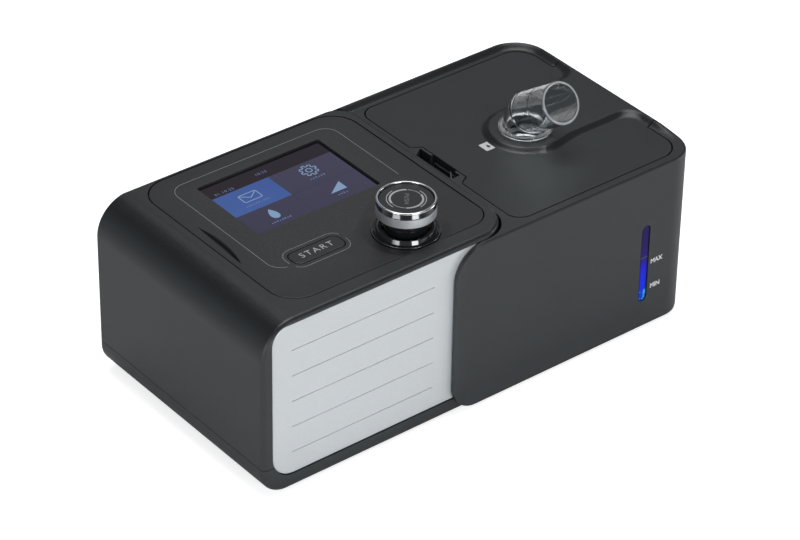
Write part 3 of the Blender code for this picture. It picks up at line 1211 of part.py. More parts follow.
def lid(material):
    """The flush lid: plate, rim section along the hinge, boss and tongue, notch and hinge barrel."""
    radii = (LID_BACK_LEFT_ROUND, LID_FRONT_ROUND, LID_BACK_RIGHT_ROUND, LID_BACK_LEFT_ROUND)
    plate = block("humidifier_lid", "Z", (lid_left, lid_front), (lid_right, lid_back), radii, lid_under, lid_top,
                  material, end_round=LID_EDGE)
    barrel = arc((hinge_x, hinge_z), HINGE_RADIUS, math.pi / 2, -math.pi / 2, ARC_STEPS + ARC_STEPS)
    cove = [(lid_right + LID_GAP + COVE_WIDTH * math.sin(a), lid_top + RIM_HEIGHT * (1 - math.cos(a)))
            for a in (math.pi / 2 * i / COVE_STEPS for i in range(COVE_STEPS + 1))]
    under = [(lid_right - HINGE_RADIUS, lid_under), (lid_right - HINGE_RADIUS, lid_top)]
    hinge = prism("lid_hinge", "Y", cove + barrel + under, HINGE_FRONT, HINGE_BACK)
    boss = turned("boss", [(0, -GAP), (BOSS_FOOT_RADIUS, -GAP), (BOSS_TOP_RADIUS, RIM_HEIGHT),
                           (0, RIM_HEIGHT)], (outlet_x, OUTLET_Y, lid_top))
    rings = []
    for slope, z in ((TONGUE_SLOPE, lid_top - GAP), (0, top)):
        rings.append([(outlet_x, OUTLET_Y - TONGUE_FRONT - slope, z), (hinge_x, OUTLET_Y - TONGUE_FRONT - slope, z),
                      (hinge_x, OUTLET_Y + TONGUE_BACK + slope, z),
                      (outlet_x + TONGUE_FLARE, OUTLET_Y + TONGUE_BACK + slope, z),
                      (outlet_x, OUTLET_Y + TONGUE_NECK + slope, z)])
    tongue = loft("tongue", rings)
    join(plate, hinge, tongue, boss)
    bore = disc("barrel_bore", (hinge_x, 0, hinge_z), HINGE_PIN_RADIUS + GAP, HINGE_FRONT - OVERRUN,
                HINGE_BACK + OVERRUN, axis="Y", sides=BOSS_SIDES)
    outlet = disc("outlet_hole", (outlet_x, OUTLET_Y, top), ELBOW_RADIUS + GAP + COLLAR_WALL + GAP,
                  -LID_THICKNESS - RIM_HEIGHT - OVERRUN, OVERRUN, sides=ROUND_SIDES)
    s = NOTCH_SLANT
    x = lid_left + NOTCH_DEPTH
    notch = prism("notch", "Z", [(lid_left - OVERRUN, NOTCH_FRONT), (lid_left, NOTCH_FRONT), (x, NOTCH_FRONT + s),
                                 (x, NOTCH_BACK - s), (lid_left, NOTCH_BACK), (lid_left - OVERRUN, NOTCH_BACK)],
                  lid_under - OVERRUN, top + OVERRUN)
    return cut(plate, bore, outlet, notch)


def latch(material):
    """The release tab under the lid's notch, ribbed for a fingertip."""
    x = lid_left + NOTCH_DEPTH
    y = (NOTCH_FRONT + NOTCH_BACK) / 2
    high = lid_under - GAP
    tab = box("lid_latch", (x, y - LATCH_LENGTH / 2, high - LATCH_HEIGHT),
              (x + LATCH_THICKNESS, y + LATCH_LENGTH / 2, high), material)
    pitch = LATCH_HEIGHT / (LATCH_RIB_COUNT + 1)
    for i in range(LATCH_RIB_COUNT):
        z = high - pitch * (i + 1)
        join(tab, box(f"latch_rib_{i}", (x - LATCH_RIB, y - LATCH_LENGTH / 2 + LATCH_RIB, z - LATCH_RIB / 2),
                      (x + LATCH_THICKNESS / 2, y + LATCH_LENGTH / 2 - LATCH_RIB, z + LATCH_RIB / 2)))
    return tab


def chamber_cover(clear):
    """The plate over the chamber with its air inlet port."""
    m = COVER_MARGIN
    lip = CHAMBER_LIP
    low = (chamber_left - lip + m, chamber_front - lip + m)
    high = (chamber_right + lip - m, port_y + INLET_SPIGOT_RADIUS + WALL)
    cover = block("chamber_cover", "Z", low, high, (CHAMBER_ROUND,) * 4, cover_top - COVER_PLATE, cover_top,
                  clear)
    join(cover, disc("cover_port", (inlet_x, port_y, cover_top), INLET_SPIGOT_RADIUS,
                     riser_top + GAP - cover_top, -COVER_PLATE / 2, sides=INLET_SIDES))
    cut(cover, disc("port_bore", (inlet_x, port_y, cover_top), INLET_SPIGOT_RADIUS - TUBE_WALL,
                    riser_top - cover_top - OVERRUN, -COVER_PLATE / 2, sides=INLET_SIDES))
    return cover


def chamber_seal(material):
    """The soft ring between the chamber's lip and the cover's skirt."""
    return frame_ring("lid_seal", 0, chamber_top + GAP, chamber_top + GAP + SEAL_HEIGHT, material)


def frame_ring(name, shrink, low_z, high_z, material=None):
    """A closed band that follows the chamber's lip."""
    lip = CHAMBER_LIP - COVER_MARGIN - shrink
    w = SEAL_WIDTH
    outer = ((chamber_left - lip, chamber_front - lip), (chamber_right + lip, chamber_back + lip))
    band = block(name, "Z", *outer, (CHAMBER_ROUND + lip,) * 4, low_z, high_z, material)
    return cut(band, block(name + "_inside", "Z", (outer[0][0] + w, outer[0][1] + w),
                           (outer[1][0] - w, outer[1][1] - w), (CHAMBER_ROUND + lip - w,) * 4,
                           low_z - OVERRUN, high_z + OVERRUN))


def cover_with_skirt(clear):
    """The chamber cover with the skirt that presses the seal, and the hole for the air outlet."""
    cover = chamber_cover(clear)
    skirt_low = chamber_top + GAP + SEAL_HEIGHT + GAP
    join(cover, frame_ring("cover_skirt", GAP, skirt_low, cover_top - COVER_PLATE / 2))
    half = AIR_WAY_WIDTH / 2
    under = cover_top - COVER_PLATE / 2
    way_low = max(skirt_low, riser_top + GAP)
    skirt_back = chamber_back + CHAMBER_LIP - COVER_MARGIN - GAP
    join(cover, box("air_way", (inlet_x - half - AIR_WAY_WALL, skirt_back - SEAL_WIDTH / 2, way_low),
                    (inlet_x + half + AIR_WAY_WALL, port_y - INLET_SPIGOT_RADIUS + TUBE_WALL, under)))
    cut(cover, box("air_channel", (inlet_x - half, skirt_back - SEAL_WIDTH - OVERRUN, way_low + AIR_WAY_WALL),
                   (inlet_x + half, port_y, under - GAP)))
    return cut(cover, disc("cover_outlet", (outlet_x, OUTLET_Y, cover_top), ELBOW_RADIUS + GAP,
                           -COVER_PLATE - OVERRUN, OVERRUN, sides=ROUND_SIDES))


def swept(name, radius, spare, material=None):
    """A round bar along the elbow's centre line: straight up, round the bend and out to the mouth."""
    turn = math.pi / 2 - ELBOW_TILT
    tangent = ELBOW_BEND * math.tan(turn / 2)
    cross = Vector(elbow_cross)
    foot = Vector((outlet_x, OUTLET_Y, top - ELBOW_STUB - spare))
    bend_start = cross - Vector((0, 0, tangent))
    centre = bend_start - Vector((0, ELBOW_BEND, 0))
    stations = [(foot, 0.0)]
    for i in range(ELBOW_STEPS + 1):
        angle = turn * i / ELBOW_STEPS
        stations.append((centre + ELBOW_BEND * Vector((0, math.cos(angle), math.sin(angle))), angle))
    stations.append((cross + elbow_direction * (ELBOW_REACH + spare), turn))
    rings = []
    for point, angle in stations:
        side = Vector((0, math.cos(angle), math.sin(angle)))
        rings.append([point + radius * (math.cos(a) * Vector((1, 0, 0)) + math.sin(a) * side)
                      for a in (2 * math.pi * i / ELBOW_SIDES for i in range(ELBOW_SIDES))])
    return loft(name, rings, material)


def outlet_fittings(clear, rubber):
    """The clear collar in the boss, the elbow that turns in it and its seal ring."""
    centre = (outlet_x, OUTLET_Y, top)
    inner = ELBOW_RADIUS + GAP
    collar = turned("outlet_collar", [(inner, cover_top + GAP - top), (inner + COLLAR_WALL, cover_top + GAP - top),
                                      (inner + COLLAR_WALL, GAP), (COLLAR_RADIUS, GAP),
                                      (COLLAR_RADIUS, COLLAR_FLANGE), (inner, COLLAR_FLANGE)], centre, clear)
    elbow = cut(swept("outlet_elbow", ELBOW_RADIUS, 0, clear), swept("elbow_bore", ELBOW_RADIUS - ELBOW_WALL, OVERRUN))
    groove = ELBOW_RADIUS - RING_SECTION
    cut(elbow, tube("ring_groove", centre, ELBOW_RADIUS + OVERRUN, groove, -RING_DROP - GAP,
                    RING_SECTION + GAP - RING_DROP, sides=ROUND_SIDES))
    ring = tube("elbow_seal", centre, ELBOW_RADIUS, groove + GAP, -RING_DROP, RING_SECTION - RING_DROP, rubber,
                sides=ROUND_SIDES)
    return collar, elbow, ring


def build():
    """Clears the scene, makes every piece and hangs the moving ones on their joints' axes."""
    for old in list(bpy.data.objects):
        bpy.data.objects.remove(old, do_unlink=True)
    charcoal = paint("charcoal_shell", (0.055, 0.058, 0.064), 0.48)
    black = paint("black_fascia", (0.016, 0.017, 0.019), 0.32)
    glossy = paint("gloss_black", (0.010, 0.010, 0.012), 0.06)
    silver = paint("silver_panel", (0.56, 0.60, 0.62), 0.38, SILVER_METAL_SHARE)
    chrome = paint("knob_chrome", (0.80, 0.80, 0.82), 0.06, 1.0)
    satin = paint("satin_metal", (0.62, 0.62, 0.64), 0.28, 1.0)
    steel = paint("dull_steel", (0.42, 0.42, 0.43), 0.42, 1.0)
    clear = paint("clear_plastic", (0.90, 0.93, 0.95), 0.05, 0.0, 0.35)
    green = paint("circuit_board", (0.02, 0.12, 0.06), 0.45)
    inner_plastic = paint("inner_plastic", (0.60, 0.61, 0.60), 0.50)
    rubber = paint("soft_rubber", (0.035, 0.035, 0.037), 0.80)
    foam = paint("filter_foam", (0.70, 0.71, 0.72), 0.95)
    smoke = paint("window_tint", (0.05, 0.16, 0.60), 0.12, 0.0, 0.75)

    main_places = foot_places(left, main_right)
    humidifier_places = foot_places(dock_left, right)
    base_pan(main_places).data.materials.append(charcoal)
    upper_housing().data.materials.append(charcoal)
    feet("main_foot", main_places, MAIN_UNDERSIDE, rubber)
    front_panel(silver)
    control_fascia(black)
    screen_pieces(smoke, inner_plastic)
    button = start_button(black)
    start_switch(black)
    dish, knob, encoder, plunger = knob_pieces(glossy, chrome, satin, black, steel)
    boards(green)
    cushion, motor, lower, upper, wheel, shaft = blower(inner_plastic, steel, rubber, black)
    outlet_pieces(inner_plastic, rubber)
    sheet, cover = filter_pieces(foam, charcoal)
    power_socket(black)
    dock_socket(black)

    housing = humidifier_housing()
    housing.data.materials.append(charcoal)
    base = humidifier_base(charcoal)
    cut(base, *foot_pockets("humidifier_pocket", humidifier_places, HUMIDIFIER_UNDERSIDE))
    humidifier_feet = feet("humidifier_foot", humidifier_places, HUMIDIFIER_UNDERSIDE, rubber)
    tray, heater_plate = heater(inner_plastic, steel)
    tub, tub_plate = chamber(clear, steel)
    window, strip = level_pieces(smoke, green)
    pin = disc("hinge_pin", (hinge_x, 0, hinge_z), HINGE_PIN_RADIUS, HINGE_FRONT - HINGE_PIN_REACH,
               HINGE_BACK + HINGE_PIN_REACH, steel, "Y", BOSS_SIDES)
    docked = [housing, base, *humidifier_feet, tray, heater_plate, tub, tub_plate, window, strip, pin,
              inlet_duct(inner_plastic), dock_plug(black)]
    cap = lid(charcoal)
    tab = latch(black)
    collar, elbow, ring = outlet_fittings(clear, rubber)
    lifted = [cap, cover_with_skirt(clear), chamber_seal(rubber), collar]

    press = carry("knob_press_axis", (knob_x, knob_y, top), plunger)
    carry("knob_turn_axis", (knob_x, knob_y, top), *knob).parent = press
    press.children[-1].matrix_parent_inverse = Matrix.Translation(press.location).inverted()
    carry("start_press_axis", (start_x, start_y, top), button)
    carry("impeller_axis", (blower_x, blower_y, volute_bottom), wheel, shaft)
    carry("filter_cover_axis", (filter_x, back, filter_z), cover)
    undock = carry("undock_axis", (dock_left, port_y, port_z), *docked)
    swing = carry("lid_hinge_axis", (hinge_x, 0, hinge_z), *lifted)
    carry("latch_axis", (lid_left, 0, lid_under), tab).parent = swing
    carry("elbow_axis", (outlet_x, OUTLET_Y, top), elbow, ring).parent = swing
    for pivot in swing.children:
        if pivot.type == "EMPTY":
            pivot.matrix_parent_inverse = Matrix.Translation(swing.location).inverted()
    swing.parent = undock
    swing.matrix_parent_inverse = Matrix.Translation(undock.location).inverted()


build()
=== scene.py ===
import json
import math

import bmesh
import bpy
import numpy as np
from mathutils import Matrix, Vector

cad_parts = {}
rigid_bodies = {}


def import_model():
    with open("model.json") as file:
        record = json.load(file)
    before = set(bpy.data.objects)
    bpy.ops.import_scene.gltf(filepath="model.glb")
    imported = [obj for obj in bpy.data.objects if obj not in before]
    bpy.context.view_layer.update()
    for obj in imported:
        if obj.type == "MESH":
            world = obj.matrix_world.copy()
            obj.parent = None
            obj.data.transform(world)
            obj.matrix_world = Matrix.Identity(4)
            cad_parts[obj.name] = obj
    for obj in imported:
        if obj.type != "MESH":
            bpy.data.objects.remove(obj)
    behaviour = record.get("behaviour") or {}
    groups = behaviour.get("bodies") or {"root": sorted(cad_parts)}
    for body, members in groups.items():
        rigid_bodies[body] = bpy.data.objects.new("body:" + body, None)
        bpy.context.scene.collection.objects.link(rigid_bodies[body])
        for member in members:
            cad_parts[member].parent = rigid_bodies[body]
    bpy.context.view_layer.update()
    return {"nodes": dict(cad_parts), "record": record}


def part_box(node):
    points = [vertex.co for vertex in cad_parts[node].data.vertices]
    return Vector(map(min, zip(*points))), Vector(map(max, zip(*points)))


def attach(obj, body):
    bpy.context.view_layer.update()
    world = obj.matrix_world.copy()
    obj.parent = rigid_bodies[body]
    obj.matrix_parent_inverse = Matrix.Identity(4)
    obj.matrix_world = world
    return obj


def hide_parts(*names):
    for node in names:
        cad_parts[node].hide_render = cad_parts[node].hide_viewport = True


for old in list(bpy.data.objects):
    bpy.data.objects.remove(old, do_unlink=True)
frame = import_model()
print("stage: frame loaded,", len(frame["nodes"]), "nodes")

# Places read from the frame; every piece below is worked out from them
housingLow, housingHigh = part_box("upper_housing")
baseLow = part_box("base_pan")[0]
panelLow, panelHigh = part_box("front_panel")
fasciaLow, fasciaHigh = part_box("control_fascia")
lensLow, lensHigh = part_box("display_lens")
startLow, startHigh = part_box("start_button")
dishLow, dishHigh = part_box("knob_dish")
stemLow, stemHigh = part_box("knob_stem")
skirtLow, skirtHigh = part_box("knob_skirt")
ringLow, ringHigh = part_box("knob_ring")
capLow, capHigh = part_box("knob_cap")
humLow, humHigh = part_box("humidifier_housing")
lidLow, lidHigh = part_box("humidifier_lid")
collarLow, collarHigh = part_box("outlet_collar")
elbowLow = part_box("outlet_elbow")[0]
latchLow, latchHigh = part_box("lid_latch")
windowLow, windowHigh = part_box("level_window")
sealLow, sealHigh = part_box("outlet_seal")
topZ = housingHigh.z
dockX = housingHigh.x
leftX = housingLow.x
rightX = humHigh.x
frontY = humLow.y
mainFrontY = housingLow.y
backY = housingHigh.y
knobX = (capLow.x + capHigh.x) / 2
knobY = (capLow.y + capHigh.y) / 2
outletX = (collarLow.x + collarHigh.x) / 2
outletY = (collarLow.y + collarHigh.y) / 2
portY = (sealLow.y + sealHigh.y) / 2
portZ = (sealLow.z + sealHigh.z) / 2
dishRadius = (dishHigh.x - dishLow.x) / 2
windowRim = 0.0015                               # how wide the level window's flange is behind the casing
hair = 0.0003                                    # the gap that touching pieces keep
moveGap = 0.0004                                 # the gap that pieces of two moving bodies keep
over = 0.004                                     # how far a cutter runs past


# Meshes. A piece is rings of points, worked out as arrays and skinned with quads.

# A new object in the scene round a mesh, curve, lamp or camera
def linked(name, data):
    made = bpy.data.objects.new(name, data)
    bpy.context.scene.collection.objects.link(made)
    return made


# Puts points and faces into a mesh at the origin
def meshPiece(name, points, faces):
    mesh = bpy.data.meshes.new(name)
    mesh.from_pydata(np.asarray(points, float).tolist(), [], faces)
    mesh.validate()
    mesh.shade_smooth()
    return linked(name, mesh)


# Quads between neighbouring rings of equal length, each ring joined to its own start, with flat caps
def skin(name, rings, capStart=True, capEnd=True):
    rings = np.asarray(rings, float)
    count, around = rings.shape[:2]
    first = np.arange(count * around).reshape(count, around)
    after = np.roll(first, -1, axis=1)
    quads = np.stack([first[:-1], after[:-1], after[1:], first[1:]], -1).reshape(-1, 4).tolist()
    if capStart:
        quads.append(list(range(around))[::-1])
    if capEnd:
        quads.append(list(range((count - 1) * around, count * around)))
    return turnOut(meshPiece(name, rings.reshape(-1, 3), quads))


# Merges doubles and makes every face of a closed shape point outwards
def turnOut(piece):
    work = bmesh.new()
    work.from_mesh(piece.data)
    bmesh.ops.remove_doubles(work, verts=work.verts, dist=1e-7)
    bmesh.ops.recalc_face_normals(work, faces=work.faces)
    work.to_mesh(piece.data)
    work.free()
    return piece


# Corners of a rectangle about a middle, from its half sides
def about(x, y, halfX, halfY):
    return (x - halfX, y - halfY), (x + halfX, y + halfY)


# Corners of a rectangle or box moved outwards by a distance
def grown(low, high, by):
    return tuple(v - by for v in low), tuple(v + by for v in high)


# Outline of a rectangle with one radius or one per corner, anticlockwise from its lower left; zero stays sharp.
# Each corner is a quarter circle: centre + r (cos a, sin a)
def roundRect(low, high, radii, inset=0.0, steps=14):
    corners = (((low[0], low[1]), (1, 1), math.pi), ((high[0], low[1]), (-1, 1), 1.5 * math.pi),
               ((high[0], high[1]), (-1, -1), 0.0), ((low[0], high[1]), (1, -1), math.pi / 2))
    parts = []
    for (corner, inwards, start), radius in zip(corners, np.broadcast_to(radii, 4)):
        inwards = np.array(inwards, float)
        if radius == 0:
            parts.append((np.array(corner) + inwards * inset)[None])
            continue
        bow = max(radius - inset, radius * 0.04)
        angles = start + np.linspace(0, math.pi / 2, steps + 1)
        centre = np.array(corner) + inwards * (inset + bow)
        parts.append(centre + bow * np.stack([np.cos(angles), np.sin(angles)], -1))
    return np.concatenate(parts)


# Sets a flat outline at a height along an axis
def lay(axis, height, outline):
    outline = np.asarray(outline, float)
    level = np.full(len(outline), float(height))
    u, v = outline[:, 0], outline[:, 1]
    return np.stack({"X": (level, u, v), "Y": (u, level, v), "Z": (u, v, level)}[axis], -1)


# A rounded outline carried along an axis; levels are (height, inset) pairs
def slab(name, axis, low, high, radii, levels, steps=14):
    return skin(name, [lay(axis, h, roundRect(low, high, radii, inset, steps)) for h, inset in levels])


# Levels of a slab whose two ends are rounded: height r (1 - cos a) at an inset of r (1 - sin a)
def softEnds(start, end, startRound=0.0, endRound=0.0, steps=6):
    turn = np.linspace(0, math.pi / 2, steps + 1)
    levels = [(start, 0.0)]
    if startRound:
        levels = list(zip(start + startRound * (1 - np.cos(turn)), startRound * (1 - np.sin(turn))))
    if endRound:
        return levels + list(zip(end - endRound * (1 - np.sin(turn)), endRound * (1 - np.cos(turn))))
    return levels + [(end, 0.0)]


# A (radius, height) profile turned about an upright axis: x = r cos a, y = r sin a, z = height.
# Its last point joins its first, or flat caps close it
def lathe(name, profile, centre, sides=96, joined=True):
    profile = np.asarray(profile, float)
    angles = np.linspace(0, 2 * math.pi, sides, endpoint=False)
    rings = np.stack([profile[:, :1] * np.cos(angles), profile[:, :1] * np.sin(angles),
                      np.repeat(profile[:, 1:], sides, axis=1)], -1) + np.asarray(centre, float)
    if joined:
        return skin(name, np.concatenate([rings, rings[:1]]), capStart=False, capEnd=False)
    return skin(name, rings)


# A plain box, mostly used to cut with
def plank(name, low, high):
    return slab(name, "Z", low[:2], high[:2], 0, ((low[2], 0), (high[2], 0)))


# Any flat outline drawn out along an axis
def bar(name, axis, outline, start, end):
    return skin(name, [lay(axis, start, outline), lay(axis, end, outline)])


# Round hole or peg: a disc drawn out along an axis, from start to end beyond its centre
def peg(name, centre, radius, start, end, axis="Z", sides=64):
    angles = np.linspace(0, 2 * math.pi, sides, endpoint=False)
    u, v, along = {"Z": (0, 1, 2), "Y": (0, 2, 1), "X": (1, 2, 0)}[axis]
    outline = np.stack([np.cos(angles), np.sin(angles)], -1) * radius + np.array([centre[u], centre[v]])
    return bar(name, axis, outline, centre[along] + start, centre[along] + end)


# Applies exact Booleans at once and removes their operands
def carve(piece, *cutters, operation="DIFFERENCE"):
    for cutter in cutters:
        step = piece.modifiers.new(cutter.name, "BOOLEAN")
        step.operation = operation
        step.solver = "EXACT"
        step.object = cutter
        settle(piece)
        bpy.data.objects.remove(cutter, do_unlink=True)
    return piece


# Applies what modifiers are on a piece
def settle(piece):
    graph = bpy.context.evaluated_depsgraph_get()
    mesh = bpy.data.meshes.new_from_object(piece.evaluated_get(graph))
    piece.modifiers.clear()
    piece.data = mesh
    mesh.name = piece.name
    return piece


# Rounds the edges that are sharper than an angle
def soften(piece, width, segments=3, degrees=32):
    bevel = piece.modifiers.new("edge", "BEVEL")
    bevel.width = width
    bevel.segments = segments
    bevel.limit_method = "ANGLE"
    bevel.angle_limit = math.radians(degrees)
    return settle(piece)


# Smooth shading that leaves flats flat: edges over an angle stay sharp, and large faces weigh more in the normals
def evenShade(piece, degrees):
    piece.data.shade_smooth()
    piece.data.set_sharp_from_angle(angle=math.radians(degrees))
    even = piece.modifiers.new("even", "WEIGHTED_NORMAL")
    even.keep_sharp = True
    even.weight = 80
    return settle(piece)


# Gives a finished piece its one material and even shading, lets it ride on its body, and hides the CAD nodes that it
# stands for
def mount(piece, finish, body, slotName, *nodes, degrees=34):
    piece.data.materials.clear()
    piece.data.materials.append(finish.material)
    piece.data.polygons.foreach_set("material_index", np.zeros(len(piece.data.polygons), np.int32))
    evenShade(piece, degrees)
    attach(piece, body)
    if nodes:
        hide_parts(*nodes)
    return piece


# Materials. Shade wraps one socket, and sums written on it become Math nodes.
class Shade:
    # Keeps the finish that the socket belongs to
    def __init__(self, finish, socket):
        self.finish, self.socket = finish, socket

    # One Math node over values or sockets
    def sum(self, operation, *values):
        return self.finish.node("Math", {"operation": operation}, dict(enumerate(values)))

    # a + b
    def __add__(self, other):
        return self.sum("ADD", self, other)

    # a - b
    def __sub__(self, other):
        return self.sum("SUBTRACT", self, other)

    # b - a, for a plain number on the left
    def __rsub__(self, other):
        return self.sum("SUBTRACT", other, self)

    # a b
    def __mul__(self, other):
        return self.sum("MULTIPLY", self, other)

    # a / b
    def __truediv__(self, other):
        return self.sum("DIVIDE", self, other)

    # a to the power b
    def __pow__(self, other):
        return self.sum("POWER", self, other)

    # 1 where a < b, else 0
    def __lt__(self, other):
        return self.sum("LESS_THAN", self, other)

    __radd__ = __add__
    __rmul__ = __mul__

    # sin a
    def sine(self):
        return self.sum("SINE", self)

    # 0 at low, 1 at high, straight between
    def ramp(self, low, high):
        return self.finish.node("MapRange", {"clamp": True}, {"Value": self, "From Min": low, "From Max": high})


# A material round one Principled shader
class Finish:
    # fixed holds the socket values that never change over it
    def __init__(self, name, fixed):
        self.material = bpy.data.materials.new(name)
        self.material.use_nodes = True
        self.tree = self.material.node_tree
        self.shader = self.tree.nodes["Principled BSDF"]
        for key, value in fixed.items():
            self.shader.inputs[key].default_value = (*value, 1) if isinstance(value, tuple) else value

    # One new node: its settings first, then the values or links of its sockets
    def node(self, kind, settings=None, sockets=None, output=0):
        made = self.tree.nodes.new("ShaderNode" + kind)
        for key, value in (settings or {}).items():
            if key == "stops":
                for stop, (place, colour) in zip((*made.color_ramp.elements, *(
                        made.color_ramp.elements.new(0.5) for _ in value[2:])), value):
                    stop.position, stop.color = place, (*colour, 1)
            else:
                setattr(made, key, value)
        for key, value in (sockets or {}).items():
            if isinstance(value, Shade):
                self.tree.links.new(value.socket, made.inputs[key])
            else:
                made.inputs[key].default_value = value
        return Shade(self, made.outputs[output])

    # Links worked-out values to the shader's sockets of the same names
    def feed(self, **links):
        for key, value in links.items():
            self.tree.links.new(value.socket, self.shader.inputs[key.replace("_", " ")])
        return self

    # The point's own place on the object
    def place(self):
        return self.node("TexCoord", output="Object")

    # The x, y and z of a place or direction
    def axes(self, vector):
        split = self.node("SeparateXYZ", {}, {"Vector": vector})
        return [Shade(self, split.socket.node.outputs[axis]) for axis in "XYZ"]

    # Cloudy values about 0.5, stretched along the axes if asked
    def noise(self, scale, detail=3.0, roughness=0.55, stretch=None):
        place = self.place()
        if stretch:
            place = self.node("Mapping", {}, {"Vector": place, "Scale": stretch})
        return self.node("TexNoise", {}, {"Vector": place, "Scale": scale, "Detail": detail, "Roughness": roughness},
                         "Fac")

    # first (1 - mask) + second mask, for colours
    def blend(self, mask, first, second):
        return self.node("Mix", {"data_type": "RGBA"}, {
            0: mask, 6: first if isinstance(first, Shade) else (*first, 1),
            7: second if isinstance(second, Shade) else (*second, 1)}, 2)

    # Rounded edges, from the mesh's pointiness: there the finishes paint wear and a highlight, and the texture is
    # lost there first
    def edges(self, low=0.51, high=0.58):
        return self.node("NewGeometry", output="Pointiness").ramp(low, high)

    # Surface normal of a height field that is distance high where it reads 1
    def bump(self, height, distance):
        return self.node("Bump", {}, {"Height": height, "Distance": distance})


# A grey or colour as it is written for a screen, in the linear values that a shader takes:
# (v / 255 + 0.055) / 1.055 to the power 2.4, and a straight line near black
def screen(*levels):
    values = [((v / 255 + 0.055) / 1.055) ** 2.4 if v > 10 else v / 3294.6 for v in levels]
    return tuple(values * 3 if len(values) == 1 else values)


# A colour made darker or brighter
def scaled(tone, by):
    return tuple(v * by for v in tone)


# Moulded plastic: a spark-eroded grain in the surface, faint blotches in the colour, and paler edges that are partly
# rubbed wear and partly a painted highlight.
# The last share paints shade: rounds and hollows between level and upright are darkened in colour as painted shade,
# and made glossier
def moulded(name, tone, wornAndLitTone, roughness, grainScale, grainDepth, blotch=0.06, edgeGain=0.5, paintedSlopeShade=0.0):
    finish = Finish(name, {"IOR": 1.5})
    cloud = finish.noise(70.0, 4.0)
    grain = finish.noise(grainScale, 2.0, 0.6)
    # Paler, smoother edges: partly wear, partly painted highlight
    edgeWearAndHighlight = finish.edges() * edgeGain * finish.noise(900.0, 2.0).ramp(0.3, 0.6)
    shade = finish.blend(cloud.ramp(0.3, 0.7), scaled(tone, 1 - blotch), scaled(tone, 1 + blotch))
    level = finish.axes(finish.node("TexCoord", output="Normal"))[2]
    # Painted shade: faces between level and upright are darkened by how much they slope
    slope = (1.0 - level).ramp(0.01, 0.06) * level.ramp(0.55, 0.8) * paintedSlopeShade
    shade = finish.blend(slope, shade, (0.0, 0.0, 0.0))
    finish.feed(Base_Color=finish.blend(edgeWearAndHighlight, shade, wornAndLitTone),
                Roughness=roughness + (grain - 0.5) * 0.16 - edgeWearAndHighlight * 0.1 - slope * 0.3,
                Normal=finish.bump(grain + finish.noise(grainScale * 0.31, 1.0) * 0.7, grainDepth))
    return finish


# The casing and lid charcoal takes painted shade on its rounds and hollows
charcoalShell = moulded("charcoalShell", screen(39, 43, 46), screen(84, 87, 91), 0.44, 5200.0, 0.00004, edgeGain=0.12,
                         paintedSlopeShade=0.5)
# A darker copy of the charcoal for the latch tab: painted shade of the finger pocket it sits in
pocketShadeCharcoal = moulded("pocketShadeCharcoal", screen(30, 31, 33), screen(60, 61, 64), 0.5, 5200.0, 0.00004)
blackFascia = moulded("blackFascia", screen(39, 39, 41), screen(66, 67, 70), 0.42, 7800.0, 0.00002)
innerPlastic = moulded("innerPlastic", screen(92, 94, 97), screen(120), 0.55, 4200.0, 0.00005)
softRubber = moulded("softRubber", screen(30), screen(48), 0.75, 3000.0, 0.00006)
dullSteel = moulded("dullSteel", screen(140, 142, 145), screen(176), 0.36, 2600.0, 0.00002)
dullSteel.shader.inputs["Metallic"].default_value = 1.0


# Polished plastic: almost smooth, with the long soft waves of a moulded gloss part and a few fine hairlines
def polished(name, tone, roughness=0.09, wave=0.00002, ior=1.5):
    finish = Finish(name, {"IOR": ior, "Coat Weight": 0.5, "Coat Roughness": 0.04})
    dust = finish.noise(1500.0, 3.0).ramp(0.62, 0.74)
    scratch = finish.noise(260.0, 2.0, stretch=(1.0, 14.0, 1.0)).ramp(0.66, 0.7)
    finish.feed(Base_Color=finish.blend(dust * 0.25, tone, tuple(v + 0.03 for v in tone)),
                Roughness=roughness + dust * 0.06 + scratch * 0.05,
                Normal=finish.bump(finish.noise(60.0, 1.0), wave))
    return finish


glossBlack = polished("glossBlack", screen(22, 24, 26), ior=1.9)

# Satin silver paint over plastic: pale flakes under a thin coat
silverPanel = Finish("silverPanel", {"IOR": 1.5, "Coat Weight": 0.25, "Coat Roughness": 0.2})
flakes = silverPanel.noise(4200.0, 1.0)
silverCloud = silverPanel.noise(24.0, 3.0)
silverPanel.feed(
    Base_Color=silverPanel.blend(flakes.ramp(0.35, 0.68), screen(200, 205, 208), screen(224, 228, 230)),
    Metallic=0.32 + flakes * 0.12, Roughness=0.44 + (silverCloud - 0.5) * 0.1,
    Normal=silverPanel.bump(flakes, 0.000012))


# Metal cut on a lathe: fine rings about an upright axis, a noise of the radius and height, smeared by hand wear.
# Below a given height the metal's colour is darkened: a painted dark reflection
def turnedMetal(name, tone, roughness, centre, pitch, depth, paintedDarkBelow=0.0):
    finish = Finish(name, {"Metallic": 1.0})
    spread = finish.node("Mapping", {}, {"Vector": finish.place(), "Location": (-centre[0], -centre[1], 0.0)})
    x, y, z = finish.axes(spread)
    radius = (x * x + y * y) ** 0.5
    rings = finish.node("TexNoise", {"noise_dimensions": "1D"}, {"W": radius + z * 1.3, "Scale": 1 / pitch,
                                                                "Detail": 2.0}, "Fac")
    smear = finish.noise(180.0, 3.0)
    shade = finish.blend(smear.ramp(0.3, 0.75), scaled(tone, 0.92), tone)
    # Painted dark reflection: the colour falls to 0.14 of its tone below the height
    if paintedDarkBelow:
        shade = finish.blend(z.ramp(paintedDarkBelow - 0.0003, paintedDarkBelow), scaled(tone, 0.14), shade)
    finish.feed(Base_Color=shade,
                Roughness=roughness + (rings - 0.5) * 0.12 + smear * 0.05,
                Normal=finish.bump(rings, depth))
    return finish


